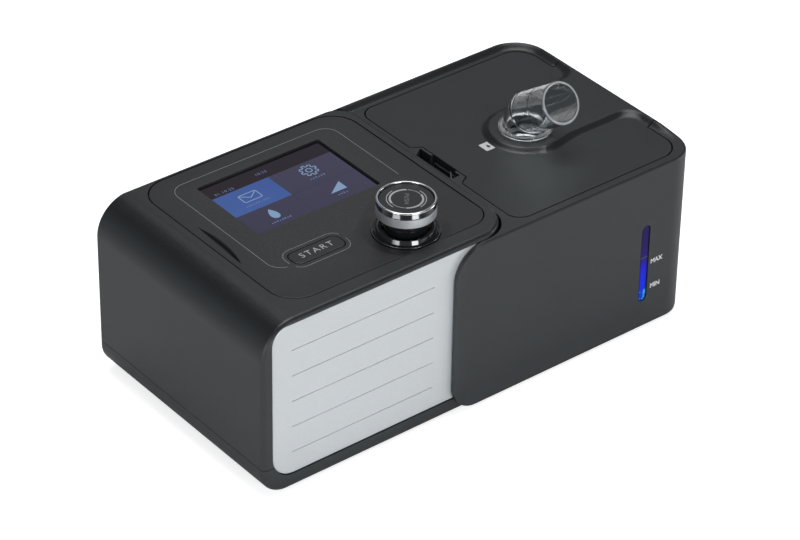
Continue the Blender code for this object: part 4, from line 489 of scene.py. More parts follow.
# The chrome band under the bead is painted dark, a painted reflection of the dark surroundings
knobChrome = turnedMetal("knobChrome", screen(226, 228, 231), 0.1, (knobX, knobY), 0.0006, 0.000004,
                         paintedDarkBelow=ringHigh.z - 0.0012)
satinMetal = turnedMetal("satinMetal", screen(208, 211, 215), 0.46, (knobX, knobY), 0.00012, 0.000012)


# Clear moulded plastic: light passes, flow lines and fine wear show in the gloss, and its moulded edges glow white as
# a painted highlight
def clearMoulded(name, glow):
    finish = Finish(name, {"Transmission Weight": 1.0, "IOR": 1.49, "Base Color": (0.95, 0.97, 0.98),
                           "Emission Strength": glow})
    flow = finish.noise(120.0, 2.0, stretch=(1.0, 1.0, 3.0))
    return finish.feed(Roughness=0.03 + finish.noise(700.0, 3.0).ramp(0.5, 0.9) * 0.08,
                       Emission_Color=finish.blend(finish.edges(0.52, 0.6), (0, 0, 0), (0.9, 0.95, 1.0)),
                       Normal=finish.bump(flow, 0.00006))


# The elbow's edges glow far brighter than the collar's: painted highlight
clearPlastic = clearMoulded("clearPlastic", 0.03)
clearElbow = clearMoulded("clearElbow", 0.6)
print("stage: finishes mixed")


# Circuit board: green lacquer over tracks that run in two directions, patch by patch
circuitBoard = Finish("circuitBoard", {"IOR": 1.5, "Coat Weight": 0.4, "Coat Roughness": 0.15})
patch = circuitBoard.noise(90.0, 1.0).ramp(0.48, 0.5)
trackX, trackY = ((way * 2600.0).sine().ramp(0.5, 0.65) for way in circuitBoard.axes(circuitBoard.place())[:2])
track = trackX * patch + trackY * (1.0 - patch)
circuitBoard.feed(Base_Color=circuitBoard.blend(track, screen(13, 62, 38), screen(34, 100, 62)),
                  Roughness=0.34 + track * 0.12, Normal=circuitBoard.bump(track, 0.00002))

# Open-cell foam: dark pores between pale threads
filterFoam = Finish("filterFoam", {"IOR": 1.4})
cells = filterFoam.node("TexVoronoi", {"feature": "DISTANCE_TO_EDGE"},
                        {"Vector": filterFoam.place(), "Scale": 1100.0}, "Distance").ramp(0.02, 0.3)
filterFoam.feed(Base_Color=filterFoam.blend(cells, screen(216, 217, 218), screen(128, 129, 131)),
                Roughness=0.88 + cells * 0.1, Normal=filterFoam.bump(1.0 - cells, 0.0002))
windowTint = polished("windowTint", screen(24, 23, 32))

# CAD nodes that stay as they are take a finish by their slot
slotFinishes = {
    "charcoal_shell": charcoalShell, "black_fascia": blackFascia, "gloss_black": glossBlack,
    "silver_panel": silverPanel, "knob_chrome": knobChrome, "satin_metal": satinMetal, "dull_steel": dullSteel,
    "clear_plastic": clearPlastic, "window_tint": windowTint, "circuit_board": circuitBoard,
    "inner_plastic": innerPlastic, "soft_rubber": softRubber, "filter_foam": filterFoam,
}
for entry in frame["record"]["subparts"]:
    node = frame["nodes"][entry["node"]]
    node.data.materials.clear()
    node.data.materials.append(slotFinishes[entry["material_slot"]].material)
print("stage: inner parts finished")


# Main unit casing: one soft form, split at the seam, with the fascia's shelf and the panel's bed taken out
casing = {
    "topLeft": 0.0195, "bottomLeft": 0.0139, "dockEdge": 0.0012,   # radii seen from the front
    "frontEdge": 0.0028, "backEdge": 0.0012, "topDockEdge": 0.0017,
    "frontDockCorner": 0.0195, "backDockCorner": 0.012, "dockBay": 0.0165,   # radii seen from above
    "wall": 0.0024, "ceiling": 0.0047, "seam": 0.0177, "seamGap": 0.00028,
    "fasciaGroove": 0.0005, "underside": baseLow.z, "floor": 0.0032, "filterCorner": 0.003,
    "holeDeep": 0.006, "powerHole": 0.0052,
    "screenLip": 0.0035, "knobLip": 0.003, "portLip": 0.0006, "dockLip": 0.0012,   # what overlaps each part below
}

# Front panel: silver, with five engraved lines; its corners as seen from the front, its dock corner from above
panel = {"edge": 0.0006, "lineLeft": 0.0114, "lineLength": 0.0853, "lineWidth": 0.00045, "lineDepth": 0.0004,
         "lineDrop": 0.0149, "linePitch": 0.01478, "lines": 5, "end": 0.0012, "dockRound": 0.0105,
         "bottomLeft": 0.0125, "topLeft": 0.0093}

# Fascia: flush black plate with the window, the button's hole, the dip round the knob and a finger mark
fascia = {"corners": (0.0155, 0.0115, 0.0155, 0.0155), "edge": 0.0005, "windowCorner": 0.0012, "buttonGap": 0.00035,
          "dip": 0.0235, "dipDepth": 0.0008, "markX": -0.1085, "markY": 0.003, "markSlant": 0.0009,
          "markLength": 0.0371, "markWidth": 0.0030, "markLip": 0.0006, "markDepth": 0.0016}


# The form inside the casing's faces by an inset: the front outline drawn to the back, kept where the plan is
def casingForm(name, inset, low, high):
    c = casing
    corners = (c["bottomLeft"], c["dockEdge"], c["dockEdge"], c["topLeft"])
    front = skin(name, [lay("Y", h, roundRect((leftX, c["underside"]), (dockX, topZ), corners, inset + more, 18))
                        for h, more in softEnds(mainFrontY + inset, backY - inset, c["frontEdge"], c["backEdge"])])
    plan = slab(name + "Plan", "Z", (leftX - over, mainFrontY + inset), (dockX - inset, backY - inset),
                (0, c["frontDockCorner"] - inset, c["backDockCorner"] - inset, 0),
                softEnds(low, high, 0.0, c["topDockEdge"]), steps=20)
    return carve(front, plan, operation="INTERSECT")


# Both shells of the main unit: the form less its own inside and every opening, parted at the seam
def casingShells():
    c, p = casing, panel
    socketLow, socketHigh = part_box("power_socket")
    plugLow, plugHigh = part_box("dock_socket")
    filterLow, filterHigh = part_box("filter_cover")
    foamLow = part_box("air_filter")[0]
    shell = casingForm("upperShell", 0.0, c["underside"] - over, topZ)
    hollow = casingForm("casingHollow", c["wall"], baseLow.z + c["floor"], topZ - c["ceiling"])
    carve(hollow, slab("panelWall", "Y", (leftX, c["underside"]), (dockX, topZ),
                       (c["bottomLeft"], 0, 0, c["topLeft"]),
                       ((mainFrontY, 0.001), (panelHigh.y + hair + c["wall"], 0.001))))
    groove, deep = c["fasciaGroove"], c["holeDeep"]
    shelf = slab("fasciaShelf", "Z", *grown(fasciaLow.xy, fasciaHigh.xy, groove),
                 np.array(fascia["corners"]) + groove, ((fasciaLow.z - hair, 0), (topZ + over, 0)), steps=20)
    bed = slab("panelBed", "Y", *grown((panelLow.x, panelLow.z), (p["end"], panelHigh.z), hair),
               (p["bottomLeft"] + hair, 0, 0, p["topLeft"] + hair),
               ((mainFrontY - over, 0), (panelHigh.y + hair, 0)), steps=16)
    screenLow, screenHigh = grown(lensLow.xy, lensHigh.xy, -c["screenLip"])
    socketMiddle = ((socketLow.x + socketHigh.x) / 2, backY, (socketLow.z + socketHigh.z) / 2)
    carve(shell, hollow, shelf, bed,
          plank("screenWay", (*screenLow, topZ - 0.03), (*screenHigh, topZ)),
          peg("knobWay", (knobX, knobY, topZ), dishRadius - c["knobLip"], -0.01, 0),
          peg("portWay", (dockX, portY, portZ), (sealHigh.z - sealLow.z) / 2 - c["portLip"], -deep, over, "X"),
          plank("dockWay", (dockX - deep, plugLow.y + c["dockLip"], plugLow.z + c["dockLip"]),
                (dockX + over, plugHigh.y - c["dockLip"], plugHigh.z - c["dockLip"])),
          peg("powerWay", socketMiddle, c["powerHole"], -deep, over, "Y"),
          slab("filterSeat", "Y", *grown((filterLow.x, filterLow.z), (filterHigh.x, filterHigh.z), hair),
               c["filterCorner"], ((foamLow.y - hair, 0), (backY + over, 0))))
    lower = linked("baseShell", shell.data.copy())
    nearCorner, farCorner = (leftX - over, mainFrontY - over), (dockX + over, backY + over)
    carve(shell, plank("belowSeam", (*nearCorner, -over), (*farCorner, c["seam"] + c["seamGap"] / 2)))
    carve(lower, plank("aboveSeam", (*nearCorner, c["seam"] - c["seamGap"] / 2), (*farCorner, topZ + over)))
    for piece, node in ((shell, "upper_housing"), (lower, "base_pan")):
        mount(soften(piece, 0.00018, 2, 40), charcoalShell, "main_unit", "charcoal_shell", node)


casingShells()


# Front plate: its outline drawn back with soft edges, kept inside a plan that turns in at the dock, less five lines
def frontPanel():
    p = panel
    plate = slab("frontPanel", "Y", (panelLow.x, panelLow.z), (p["end"], panelHigh.z),
                 (p["bottomLeft"], 0, 0, p["topLeft"]), softEnds(panelLow.y, panelHigh.y, p["edge"]), steps=18)
    carve(plate, slab("panelPlan", "Z", (panelLow.x - over, panelLow.y - 0.00001), (p["end"], panelHigh.y + 0.02),
                      (0, p["dockRound"], 0, 0), ((panelLow.z - over, 0), (panelHigh.z + over, 0)), steps=24),
          operation="INTERSECT")
    x, half = panelLow.x + p["lineLeft"], p["lineWidth"] / 2
    for row in range(p["lines"]):
        z = panelHigh.z - p["lineDrop"] - p["linePitch"] * row
        carve(plate, slab(f"line{row}", "Y", (x, z - half), (x + p["lineLength"], z + half), 0.0002,
                          ((panelLow.y - over, 0), (panelLow.y + p["lineDepth"], 0)), steps=3))
    mount(plate, silverPanel, "main_unit", "silver_panel", "front_panel")


frontPanel()
print("stage: casing and panel made")


# The dip falls in a soft S from its rim to the dish: height is a smooth step of the radius, 3 t^2 - 2 t^3
def dipCutter():
    f = fascia
    t = np.linspace(0, 1, 17)
    radius = dishRadius + (f["dip"] - dishRadius) * t
    height = -f["dipDepth"] * (1 - (3 * t * t - 2 * t ** 3)) + 0.00001
    profile = [(0.0001, -f["dipDepth"]), *zip(radius, height), (f["dip"], over), (0.0001, over)]
    return lathe("knobDip", profile, (knobX, knobY, topZ))


# The finger mark: a sliver between a straight side and a bowed one, deepest along the bow. Its rows run down the
# lip, to the deep line and up again: bow width (1 - t^2), depth (1 - t^4)
def fingerMark():
    f = fascia
    t = np.linspace(-1, 1, 41)
    y = f["markY"] + t * f["markLength"] / 2
    bow = f["markWidth"] * (1 - t ** 2)
    x = f["markX"] + f["markSlant"] * t
    level = np.full_like(y, topZ)
    rows = ((x + bow + 0.0002, level + 0.0002), (x + bow * 0.76 + 0.00015, topZ - f["markLip"] * (1 - t ** 4)),
            (x + bow * 0.68 + 0.0001, topZ - f["markDepth"] * (1 - t ** 4)),
            (x - 0.0001, level - 0.0001), (x - 0.0003, level + 0.0002))
    return skin("fingerMark", np.stack([np.stack([across, y, height], -1) for across, height in rows], 1))


# Fascia: its outline with a soft top edge, less the window, the button's hole, the dip, the dish's hole and the mark
def fasciaPlate():
    f, s = fascia, startPill
    plate = slab("controlFascia", "Z", fasciaLow.xy, fasciaHigh.xy, f["corners"],
                 softEnds(fasciaLow.z, topZ, 0, f["edge"]), steps=22)
    g, through = f["buttonGap"], ((fasciaLow.z - over, 0), (topZ + over, 0))
    carve(plate, slab("windowCut", "Z", *grown(lensLow.xy, lensHigh.xy, 0.0001), f["windowCorner"], through, steps=6),
          slab("buttonCut", "Z", *grown(*pillSpan, g), s["corner"] + g, through, steps=12),
          dipCutter(), peg("dishCut", (knobX, knobY, topZ), dishRadius + 0.0002, -0.01, over, sides=96), fingerMark())
    mount(plate, blackFascia, "main_unit", "black_fascia", "control_fascia")


# Start button: a rounded bar with a soft edge; the fascia's hole needs its place too
startPill = {"x": -0.0740, "y": -0.0279, "length": 0.0302, "width": 0.0107, "corner": 0.0040, "edge": 0.0007,
             "flange": 0.0012, "capital": 0.0040}
startX, startY = startPill["x"], startPill["y"]
pillSpan = about(startX, startY, startPill["length"] / 2, startPill["width"] / 2)
fasciaPlate()
print("stage: fascia made")


# Finishes of the screen, the printing and the glass
screenGlass = Finish("screenGlass", {"Base Color": screen(20, 19, 27), "IOR": 1.5, "Coat Weight": 0.4,
                                     "Coat Roughness": 0.03})
screenGlass.feed(Roughness=0.1 + screenGlass.noise(900.0, 3.0).ramp(0.55, 0.8) * 0.08,
                 Normal=screenGlass.bump(screenGlass.noise(45.0, 1.0), 0.00001))


# A lit part of the picture: the colour runs from one corner to the other and shows the panel's fine rows
def litFinish(name, near, far, glow, low, high, gloss=0.25):
    finish = Finish(name, {"IOR": 1.5, "Specular IOR Level": gloss * 1.25, "Coat Weight": gloss,
                           "Coat Roughness": 0.03, "Roughness": 0.12, "Emission Strength": glow})
    x, y = finish.axes(finish.place())[:2]
    across = ((x - low[0]) / (high[0] - low[0]) * 0.5 + (y - low[1]) / (high[1] - low[1]) * 0.5).ramp(0.0, 1.0)
    colour = finish.blend((across + (y * 9000.0).sine() * 0.04).ramp(0.0, 1.0), near, far)
    return finish.feed(Base_Color=finish.blend(0.75, colour, (0, 0, 0)), Emission_Color=colour)


lensSpan = lensLow.xy, lensHigh.xy
tileGlow = litFinish("tileGlow", screen(50, 48, 84), screen(62, 58, 92), 0.42, *lensSpan)
blueGlow = litFinish("blueGlow", screen(58, 98, 170), screen(36, 70, 150), 0.62, *lensSpan)
stripGlow = litFinish("stripGlow", screen(52, 44, 50), screen(50, 44, 56), 0.4, *lensSpan, gloss=0.06)
iconGlow = litFinish("iconGlow", screen(132, 168, 208), screen(140, 164, 200), 0.6, *lensSpan)
dimGlow = litFinish("dimGlow", screen(104, 128, 178), screen(110, 124, 168), 0.55, *lensSpan)


# Silk-screen ink: a little uneven and slightly raised
def ink(name, tone):
    finish = Finish(name, {"IOR": 1.45})
    patchy = finish.noise(2400.0, 3.0).ramp(0.3, 0.75)
    return finish.feed(Base_Color=finish.blend(patchy, scaled(tone, 0.72), tone),
                       Roughness=0.42 + patchy * 0.12, Normal=finish.bump(patchy, 0.00001))


paleInk = ink("paleInk", screen(196, 199, 202))
greyInk = ink("greyInk", screen(146, 148, 151))
whiteInk = ink("whiteInk", screen(232, 233, 234))


# Flat shape raised a hair over a face and sunk a hair into it, from an outline in that face
def inkPlate(name, outline, level, axis="Z", thick=0.00005, sunk=0.00004):
    out = -1 if axis == "Y" else 1                              # the front faces against its axis
    return bar(name, axis, outline, level - sunk * out, level + thick * out)


# A stripe of even width along a line of points: each point moves sideways along the mitre of its two sides
def inkStripe(name, line, width, level, closed=False, thick=0.00005, sunk=0.00004):
    line = np.asarray(line, float)
    ahead = (np.roll(line, -1, 0) - line) if closed else np.diff(line, axis=0, append=line[-1:] * 2 - line[-2:-1])
    behind = np.roll(ahead, 1, 0) if closed else np.concatenate([ahead[:1], ahead[:-1]])
    ahead = ahead / np.linalg.norm(ahead, axis=1, keepdims=True)
    behind = behind / np.linalg.norm(behind, axis=1, keepdims=True)
    mitre = np.stack([-(ahead + behind)[:, 1], (ahead + behind)[:, 0]], -1)
    mitre /= np.linalg.norm(mitre, axis=1, keepdims=True)
    reachOut = width / 2 / np.clip((mitre * np.stack([-ahead[:, 1], ahead[:, 0]], -1)).sum(1, keepdims=True), 0.4, 1)
    left, right = line + mitre * reachOut, line - mitre * reachOut
    rings = np.stack([lay("Z", height, side) for height, side in (
        (level + thick, left), (level + thick, right), (level - sunk, right), (level - sunk, left))], 1)
    if closed:
        rings = np.concatenate([rings, rings[:1]])
    return skin(name, rings, capStart=not closed, capEnd=not closed)


# One mesh of several, side by side
def joinPieces(name, pieces):
    work = bmesh.new()
    for piece in pieces:
        work.from_mesh(piece.data)
        bpy.data.objects.remove(piece, do_unlink=True)
    mesh = bpy.data.meshes.new(name)
    work.to_mesh(mesh)
    work.free()
    return linked(name, mesh)


# A word as a thin solid: capital is the height of its capitals, direction the way it reads, up the way it stands
def word(name, text, capital, centre, spacing=1.0, direction=(1, 0, 0), up=(0, 1, 0), heavy=0.0, thick=0.00003):
    curve = bpy.data.curves.new(name, "FONT")
    curve.body = text
    curve.align_x, curve.align_y = "CENTER", "CENTER"
    curve.size = capital / 0.73                                 # a capital is 0.73 of the size of the letters
    curve.space_character = spacing
    curve.extrude = thick
    curve.offset = heavy
    curve.resolution_u = 4
    holder = linked(name, curve)
    graph = bpy.context.evaluated_depsgraph_get()
    mesh = bpy.data.meshes.new_from_object(holder.evaluated_get(graph))
    bpy.data.objects.remove(holder, do_unlink=True)
    across, upright = Vector(direction).normalized(), Vector(up).normalized()
    turn = Matrix((across, upright, across.cross(upright))).transposed().to_4x4()
    mesh.transform(Matrix.Translation(centre) @ turn)
    return turnOut(linked(name, mesh))


# The picture: dark strip, four tiles, one of them lit blue, and plain signs drawn as outlines
picture = {
    "inset": 0.0011, "strip": 0.0388, "middleX": -0.0531, "middleY": 0.0188, "gap": 0.00025, "stroke": 0.00055,
    "envelope": (-0.0705, 0.0300), "gear": (-0.0335, 0.0315), "drop": (-0.0705, 0.0112), "slope": (-0.0325, 0.0108),
    "film": 0.00003, "blockPitch": 0.0014, "blockWide": 0.0008, "capital": 0.0020,
}


# Outline of a drop: x = wide sin t sin (t / 2), y = tall cos t
def dropLine(x, y, wide, tall, steps):
    t = np.linspace(0, 2 * math.pi, steps, endpoint=False)
    return np.stack([x + wide * np.sin(t) * np.sin(t / 2), y + tall * np.cos(t)], -1)


# Pane, tiles, signs and small marks: flat outlines stacked a film apart, the gear's radius a sine cut flat
def screenPicture():
    p = picture
    z, film, w, g = lensHigh.z, p["film"], p["stroke"], p["gap"] / 2
    glass = slab("screenGlass", "Z", lensLow.xy, lensHigh.xy, 0.0012, softEnds(lensLow.z, z, 0, 0.0002), steps=6)
    mount(glass, screenGlass, "main_unit", "window_tint", "display_lens")
    (x0, y0), (x1, y1) = grown(lensLow.xy, lensHigh.xy, -p["inset"])
    xm, ym, ys = p["middleX"], p["middleY"], p["strip"]

    # A flat rectangle with small corners on the pane
    def tile(name, low, high):
        return inkPlate(name, roundRect(low, high, 0.0002, 0, 2), z, thick=film)

    tiles = joinPieces("pictureTiles", [tile("tileA", (xm + g, ym + g), (x1, ys - g)),
                                        tile("tileB", (x0, y0), (xm - g, ym - g)),
                                        tile("tileC", (xm + g, y0), (x1, ym - g))])
    mount(tiles, tileGlow, "main_unit", "window_tint")
    mount(tile("pictureBlueTile", (x0, ym + g), (xm - g, ys - g)), blueGlow, "main_unit", "window_tint")
    mount(tile("pictureStrip", (x0, ys + g), (x1, y1)), stripGlow, "main_unit", "window_tint")

    signZ = z + film
    (ex, ey), (gx, gy), (dx, dy), (sx, sy) = p["envelope"], p["gear"], p["drop"], p["slope"]
    t = np.linspace(0, 2 * math.pi, 160, endpoint=False)
    circle = np.stack([np.cos(t), np.sin(t)], -1)
    tooth = np.clip(np.sin(8 * t) * 3.5, -1, 1)                 # eight teeth: a sine cut flat at top and root
    wedge = [(sx - 0.0052, sy - 0.0028), (sx + 0.0046, sy - 0.0028), (sx + 0.0046, sy + 0.0042)]
    signs = [
        inkStripe("envelope", roundRect(*about(ex, ey, 0.0052, 0.0033), 0.0008, 0, 4), w, signZ, closed=True),
        inkStripe("flap", [(ex - 0.0048, ey + 0.0028), (ex, ey - 0.0008), (ex + 0.0048, ey + 0.0028)], w, signZ),
        inkStripe("gear", circle * (0.0041 + 0.0006 * tooth)[:, None] + (gx, gy), w, signZ, closed=True),
        inkStripe("gearHub", circle[::4] * 0.0016 + (gx, gy), w, signZ, closed=True),
        inkPlate("drop", dropLine(dx, dy, 0.0031, 0.0044, 60), signZ, thick=film),
        inkPlate("slope", wedge, signZ, thick=film)]
    mount(joinPieces("pictureSigns", signs), iconGlow, "main_unit", "window_tint", degrees=60)

    # Under each sign a row of small blocks of three heights stands for its caption
    captions = (((ex, ey - 0.0066), 0.0150), ((gx, gy - 0.0072), 0.0096), ((dx, dy - 0.0068), 0.0122),
                ((sx, sy - 0.0056), 0.0066))
    marks = []
    for row, ((bx, by), length) in enumerate(captions):
        count = int(length / p["blockPitch"])
        for step in range(count):
            x = bx - length / 2 + (step + 0.2) * length / count
            tall = 0.0005 + 0.0002 * ((step * 7 + row * 3) % 3)
            outline = roundRect((x, by - 0.0005), (x + p["blockWide"], by - 0.0005 + tall * 1.4), 0.0001, 0, 1)
            marks.append(inkPlate(f"dash{row}{step}", outline, signZ, thick=0.00002))
    for name, text, spot in (("pictureTime", "10:25", (-0.0540, 0.0437, signZ)),
                             ("pictureDate", "01.10.25", (x0 + 0.0090, ys + 0.0021, signZ))):
        marks.append(word(name, text, p["capital"], spot, 1.2))
    mount(joinPieces("pictureSmallMarks", marks), dimGlow, "main_unit", "window_tint")
    rim = inkStripe("bezel", roundRect((x0, y0), (x1, y1), 0.0004, -0.0003, 3), 0.0005, z, closed=True, thick=0.00002)
    mount(rim, screenGlass, "main_unit", "window_tint")


screenPicture()

# Printed lines: a frame that runs round the window and ends at the ring round the button
printing = {"left": -0.0998, "right": -0.0016, "back": 0.0574, "front": -0.0310, "end": 0.0006, "corner": 0.008,
          "width": 0.00032, "ringLength": 0.0346, "ringWidth": 0.0160, "ringCorner": 0.0062}


# Points of an arc between two angles in degrees: centre + r (cos a, sin a)
def arcPoints(centre, radius, start, end, steps=14):
    angles = np.radians(np.linspace(start, end, steps))
    return np.stack([np.cos(angles), np.sin(angles)], -1) * radius + np.array(centre)


# The frame and the ring as stripes: straight runs and quarter arcs, the ring in two parts with gaps between them
def printedLines():
    p = printing
    r, bow = p["corner"], p["ringCorner"]
    left, right, back, front = p["left"] + r, p["right"] - r, p["back"] - r, p["front"] + r
    west, east = startX - (p["ringLength"] / 2 - bow), startX + (p["ringLength"] / 2 - bow)
    south, north = startY - (p["ringWidth"] / 2 - bow), startY + (p["ringWidth"] / 2 - bow)
    lines = {
        "printedFrame": [[(p["right"], p["end"])], arcPoints((right, back), r, 0, 90),
                         arcPoints((left, back), r, 90, 180), arcPoints((left, front), r, 180, 258)],
        "ringA": [[(west - bow, south)], arcPoints((west, north), bow, 180, 90),
                  arcPoints((east, north), bow, 90, 24, 11)],
        "ringB": [arcPoints((west, south), bow, 212, 270, 10), arcPoints((east, south), bow, 270, 360),
                  [(east + bow, startY)]],
    }
    stripes = [inkStripe(name, np.concatenate(parts), p["width"], topZ) for name, parts in lines.items()]
    mount(joinPieces("printedLines", stripes), greyInk, "main_unit", "silver_panel")


printedLines()


# Start button: a rounded bar with a soft edge, on a neck with a flange below the fascia, a stem, and its word
def startButton():
    s = startPill
    corner, lip = s["corner"], s["flange"]
    pill = slab("startPill", "Z", *pillSpan, corner, softEnds(topZ - 0.002, startHigh.z, 0, s["edge"]), steps=18)
    flange = slab("pillFlange", "Z", *grown(*pillSpan, lip), corner + lip,
                  ((fasciaLow.z - 0.0014, 0), (fasciaLow.z - hair, 0)))
    neck = slab("pillNeck", "Z", *pillSpan, corner, ((fasciaLow.z - 0.001, 0), (topZ - 0.0015, 0)))
    stem = peg("pillStem", (startX, startY, fasciaLow.z), 0.002, startLow.z - fasciaLow.z, -0.0008)
    carve(pill, neck, flange, stem, operation="UNION")
    mount(pill, blackFascia, "start_button", "black_fascia", "start_button")
    label = word("startWord", "START", s["capital"], (startX, startY, startHigh.z + 0.00002), 1.32)
    mount(label, paleInk, "start_button", "silver_panel")


startButton()
print("stage: screen, print and start button made")

# Knob: dish, stem, satin skirt, chrome ring and black cap, all turned about one upright axis
knob = {"radius": 0.0148, "rim": 0.0013, "waist": 0.0105, "skirtEdge": 0.0006, "arcNear": 0.0080, "arcFar": 0.0096,
        "capital": 0.0023, "capSunk": 0.0007, "wallFoot": 0.0150, "wallHead": 0.0142, "wallRise": 0.0023,
        "dishHole": 0.0052}


# Part of a circle between two directions in degrees, as (radius, height) points of a profile
def bend(cx, cz, r, start, end, steps=6):
    angles = np.radians(np.linspace(start, end, steps + 1))
    return [(cx + r * math.cos(a), cz + r * math.sin(a)) for a in angles]


# Dish, stem, skirt, ring and cap as profiles turned about the knob's axis, with arcs and a word on the cap
def knobPieces():
    k = knob
    centre, r, inner, waist = (knobX, knobY, 0.0), k["radius"], k["radius"] - k["rim"], k["waist"]
    # The dish has a flat flange, a steep ring wall that mirrors the boxes like the knob's band, and a bowl in it,
    # whose height falls by sin (90 t) to the power 0.7
    t = np.linspace(0, 1, 22)
    outer, foot, head, hole = dishRadius, k["wallFoot"], k["wallHead"], k["dishHole"]
    wall, low, flange, skirtIn = topZ + k["wallRise"], dishHigh.z - 0.0022, topZ + 0.0002, dishRadius - 0.0033
    bowlOuter = head - 0.0007
    bowl = list(zip(bowlOuter - (bowlOuter - hole) * t,
                    wall - 0.0003 - (wall - 0.0003 - low) * np.sin(t * math.pi / 2) ** 0.7))
    dish = lathe("knobDish", [(outer, fasciaLow.z), *bend(outer - 0.0002, flange - 0.0002, 0.0002, 0, 90, 4),
                              (outer - 0.0004, flange), (foot + 0.0001, topZ - 0.0007), (foot, topZ - 0.0006),
                              *bend(head - 0.0003, wall - 0.0003, 0.0003, 19, 160, 8), *bowl,
                              (hole, dishLow.z), (skirtIn, dishLow.z), (skirtIn, fasciaLow.z)], centre, 144)
    mount(dish, glossBlack, "main_unit", "gloss_black", "knob_dish")
    stemRadius, stemTop = (stemHigh.x - stemLow.x) / 2, stemHigh.z
    stem = lathe("knobStem", [(0.0020, stemLow.z), (waist - 0.0008, stemLow.z),
                              *bend(waist - 0.0006, stemLow.z + 0.0006, 0.0006, -90, 0, 4),
                              (waist, skirtLow.z + 0.0006), (waist, stemTop - 0.003), (stemRadius, stemTop - 0.0028),
                              (stemRadius, stemTop), (0.0020, stemTop)], centre)
    mount(stem, glossBlack, "knob", "black_fascia", "knob_stem")
    low, top, e = skirtLow.z, skirtHigh.z, k["skirtEdge"]
    skirt = lathe("knobSkirt", [(waist + 0.0003, low + 0.0003), *bend(r - e, low + e, e, -90, 0, 6),
                                *bend(r - 0.0002, top - 0.0002, 0.0002, 0, 90, 3),
                                (inner, top), (inner, low + 0.0012), (waist + 0.0003, low + 0.0012)], centre, 144)
    mount(skirt, satinMetal, "knob", "satin_metal", "knob_skirt")
    # A bead round the cap, then a band that leans back like a cone and mirrors the low boxes
    top = ringHigh.z
    ring = lathe("knobRing", [(inner, ringLow.z), (r - 0.0002, ringLow.z), (r - 0.00005, ringLow.z + 0.00015),
                              (r - 0.00075, top - 0.00125), (r - 0.00045, top - 0.00112),
                              *bend(r - 0.00062, top - 0.00062, 0.00062, -50, 90, 12),
                              *bend(inner + 0.00045, top - 0.00045, 0.00045, 90, 180, 6)], centre, 160)
    mount(ring, knobChrome, "knob", "knob_chrome", "knob_ring")
    capRadius, top = inner - 0.0002, capHigh.z - k["capSunk"]
    cap = lathe("knobCap", [(0.001, capLow.z), (capRadius, capLow.z),
                            *bend(capRadius - 0.0004, top - 0.0004, 0.0004, 0, 90, 5),
                            (0.012, top - 0.00005), (0.008, top), (0.001, top)], centre, 144, joined=False)
    mount(cap, blackFascia, "knob", "black_fascia", "knob_cap")
    arcs = [(k["arcNear"], 0.0010, 51, 171), (k["arcNear"], 0.0010, 231, 351), (k["arcFar"], 0.0004, 96, 190),
            (k["arcFar"], 0.0004, 276, 370), (k["arcNear"], 0.0003, 175, 228), (k["arcNear"], 0.0003, -5, 47)]
    marks = [inkStripe(f"arc{number}", arcPoints((knobX, knobY), radius, start, end, 40), width, top)
             for number, (radius, width, start, end) in enumerate(arcs)]
    mount(joinPieces("knobArcs", marks), paleInk, "knob", "silver_panel")
    label = word("knobWord", "PUSH", k["capital"], (knobX, knobY, top + 0.00002), 1.36,
                 (-0.622, -0.783, 0), (0.783, -0.622, 0))
    mount(label, greyInk, "knob", "silver_panel")


knobPieces()
print("stage: knob made")

# Humidifier: casing with a rim that runs along its back and right side and fades out at the front
humidifier = {
    "frontCorner": 0.016, "backCorner": 0.020, "bottomRight": 0.010, "wall": 0.0024, "shelf": 0.0028,
    "shelfHeight": 0.0022, "rimRound": 0.0028, "rise": 0.0023, "coveStart": 0.0029, "coveWidth": 0.0038,
    "fadeFrom": -0.0385, "fadeTo": -0.0600, "wingLow": 0.014, "wingHigh": 0.0185, "frontShare": 0.5,
    "wallLevels": (humLow.z, 0.012, 0.0160, 0.0174, 0.0640, 0.0655, 0.0705, 0.085), "floorLip": 0.0045,
    "spigotHole": 0.0096, "plugY": -0.012, "plugHalf": 0.0075, "plugFoot": 0.027, "plugHead": 0.033,
}
lidGap = 0.0006
lidTop = topZ - humidifier["rise"]
lidUnder = latchHigh.z + hair
lidBox = (lidLow.x, lidLow.y), (rightX - 0.0072, lidHigh.y)
lidRadii = (0.0085, 0.0125, 0.0125, 0.0085)
hingeFront, hingeBack, hingeRadius, pinRadius = -0.0376, 0.0350, 0.0028, 0.0012
hingeX, hingeZ = rightX - hingeRadius, topZ - hingeRadius
notch = {"front": -0.0226, "back": 0.0198, "depth": 0.0054, "bend": 0.0042, "pocketFront": -0.0157,
         "pocketBack": 0.0117, "pocketFar": 0.0156, "pocketRight": 0.0240, "pocketDeep": 0.0105,
         "wallRight": 0.0256, "trayWall": 0.0016, "trayDeep": 0.0121}


# Zero below the first value, one above the second, and t^2 (3 - 2 t) between
def softStep(value, start, end):
    t = np.clip((value - start) / (end - start), 0, 1)
    return t * t * (3 - 2 * t)


# The hollow foot of the rim, boss and tongue: (1-t)^2 (1 + 0.9 t), averaged over three places to round its top
def coveShare(t):
    t = np.asarray(t, float)
    return sum(weight * (1 - u) ** 2 * (1 + 0.9 * u) for weight, u in
               ((0.25, np.clip(t - 0.12, 0, 1)), (0.5, np.clip(t, 0, 1)), (0.25, np.clip(t + 0.12, 0, 1))))


# Splits an outline's long sides into even steps, corner (1 - share) + next share; one split serves all its insets
def splitSides(outline, counts):
    first = np.repeat(np.arange(len(outline)), counts)
    share = (np.arange(counts.sum()) - np.repeat(np.cumsum(counts) - counts, counts)) / np.repeat(counts, counts)
    return outline[first] * (1 - share[:, None]) + np.roll(outline, -1, 0)[first] * share[:, None]


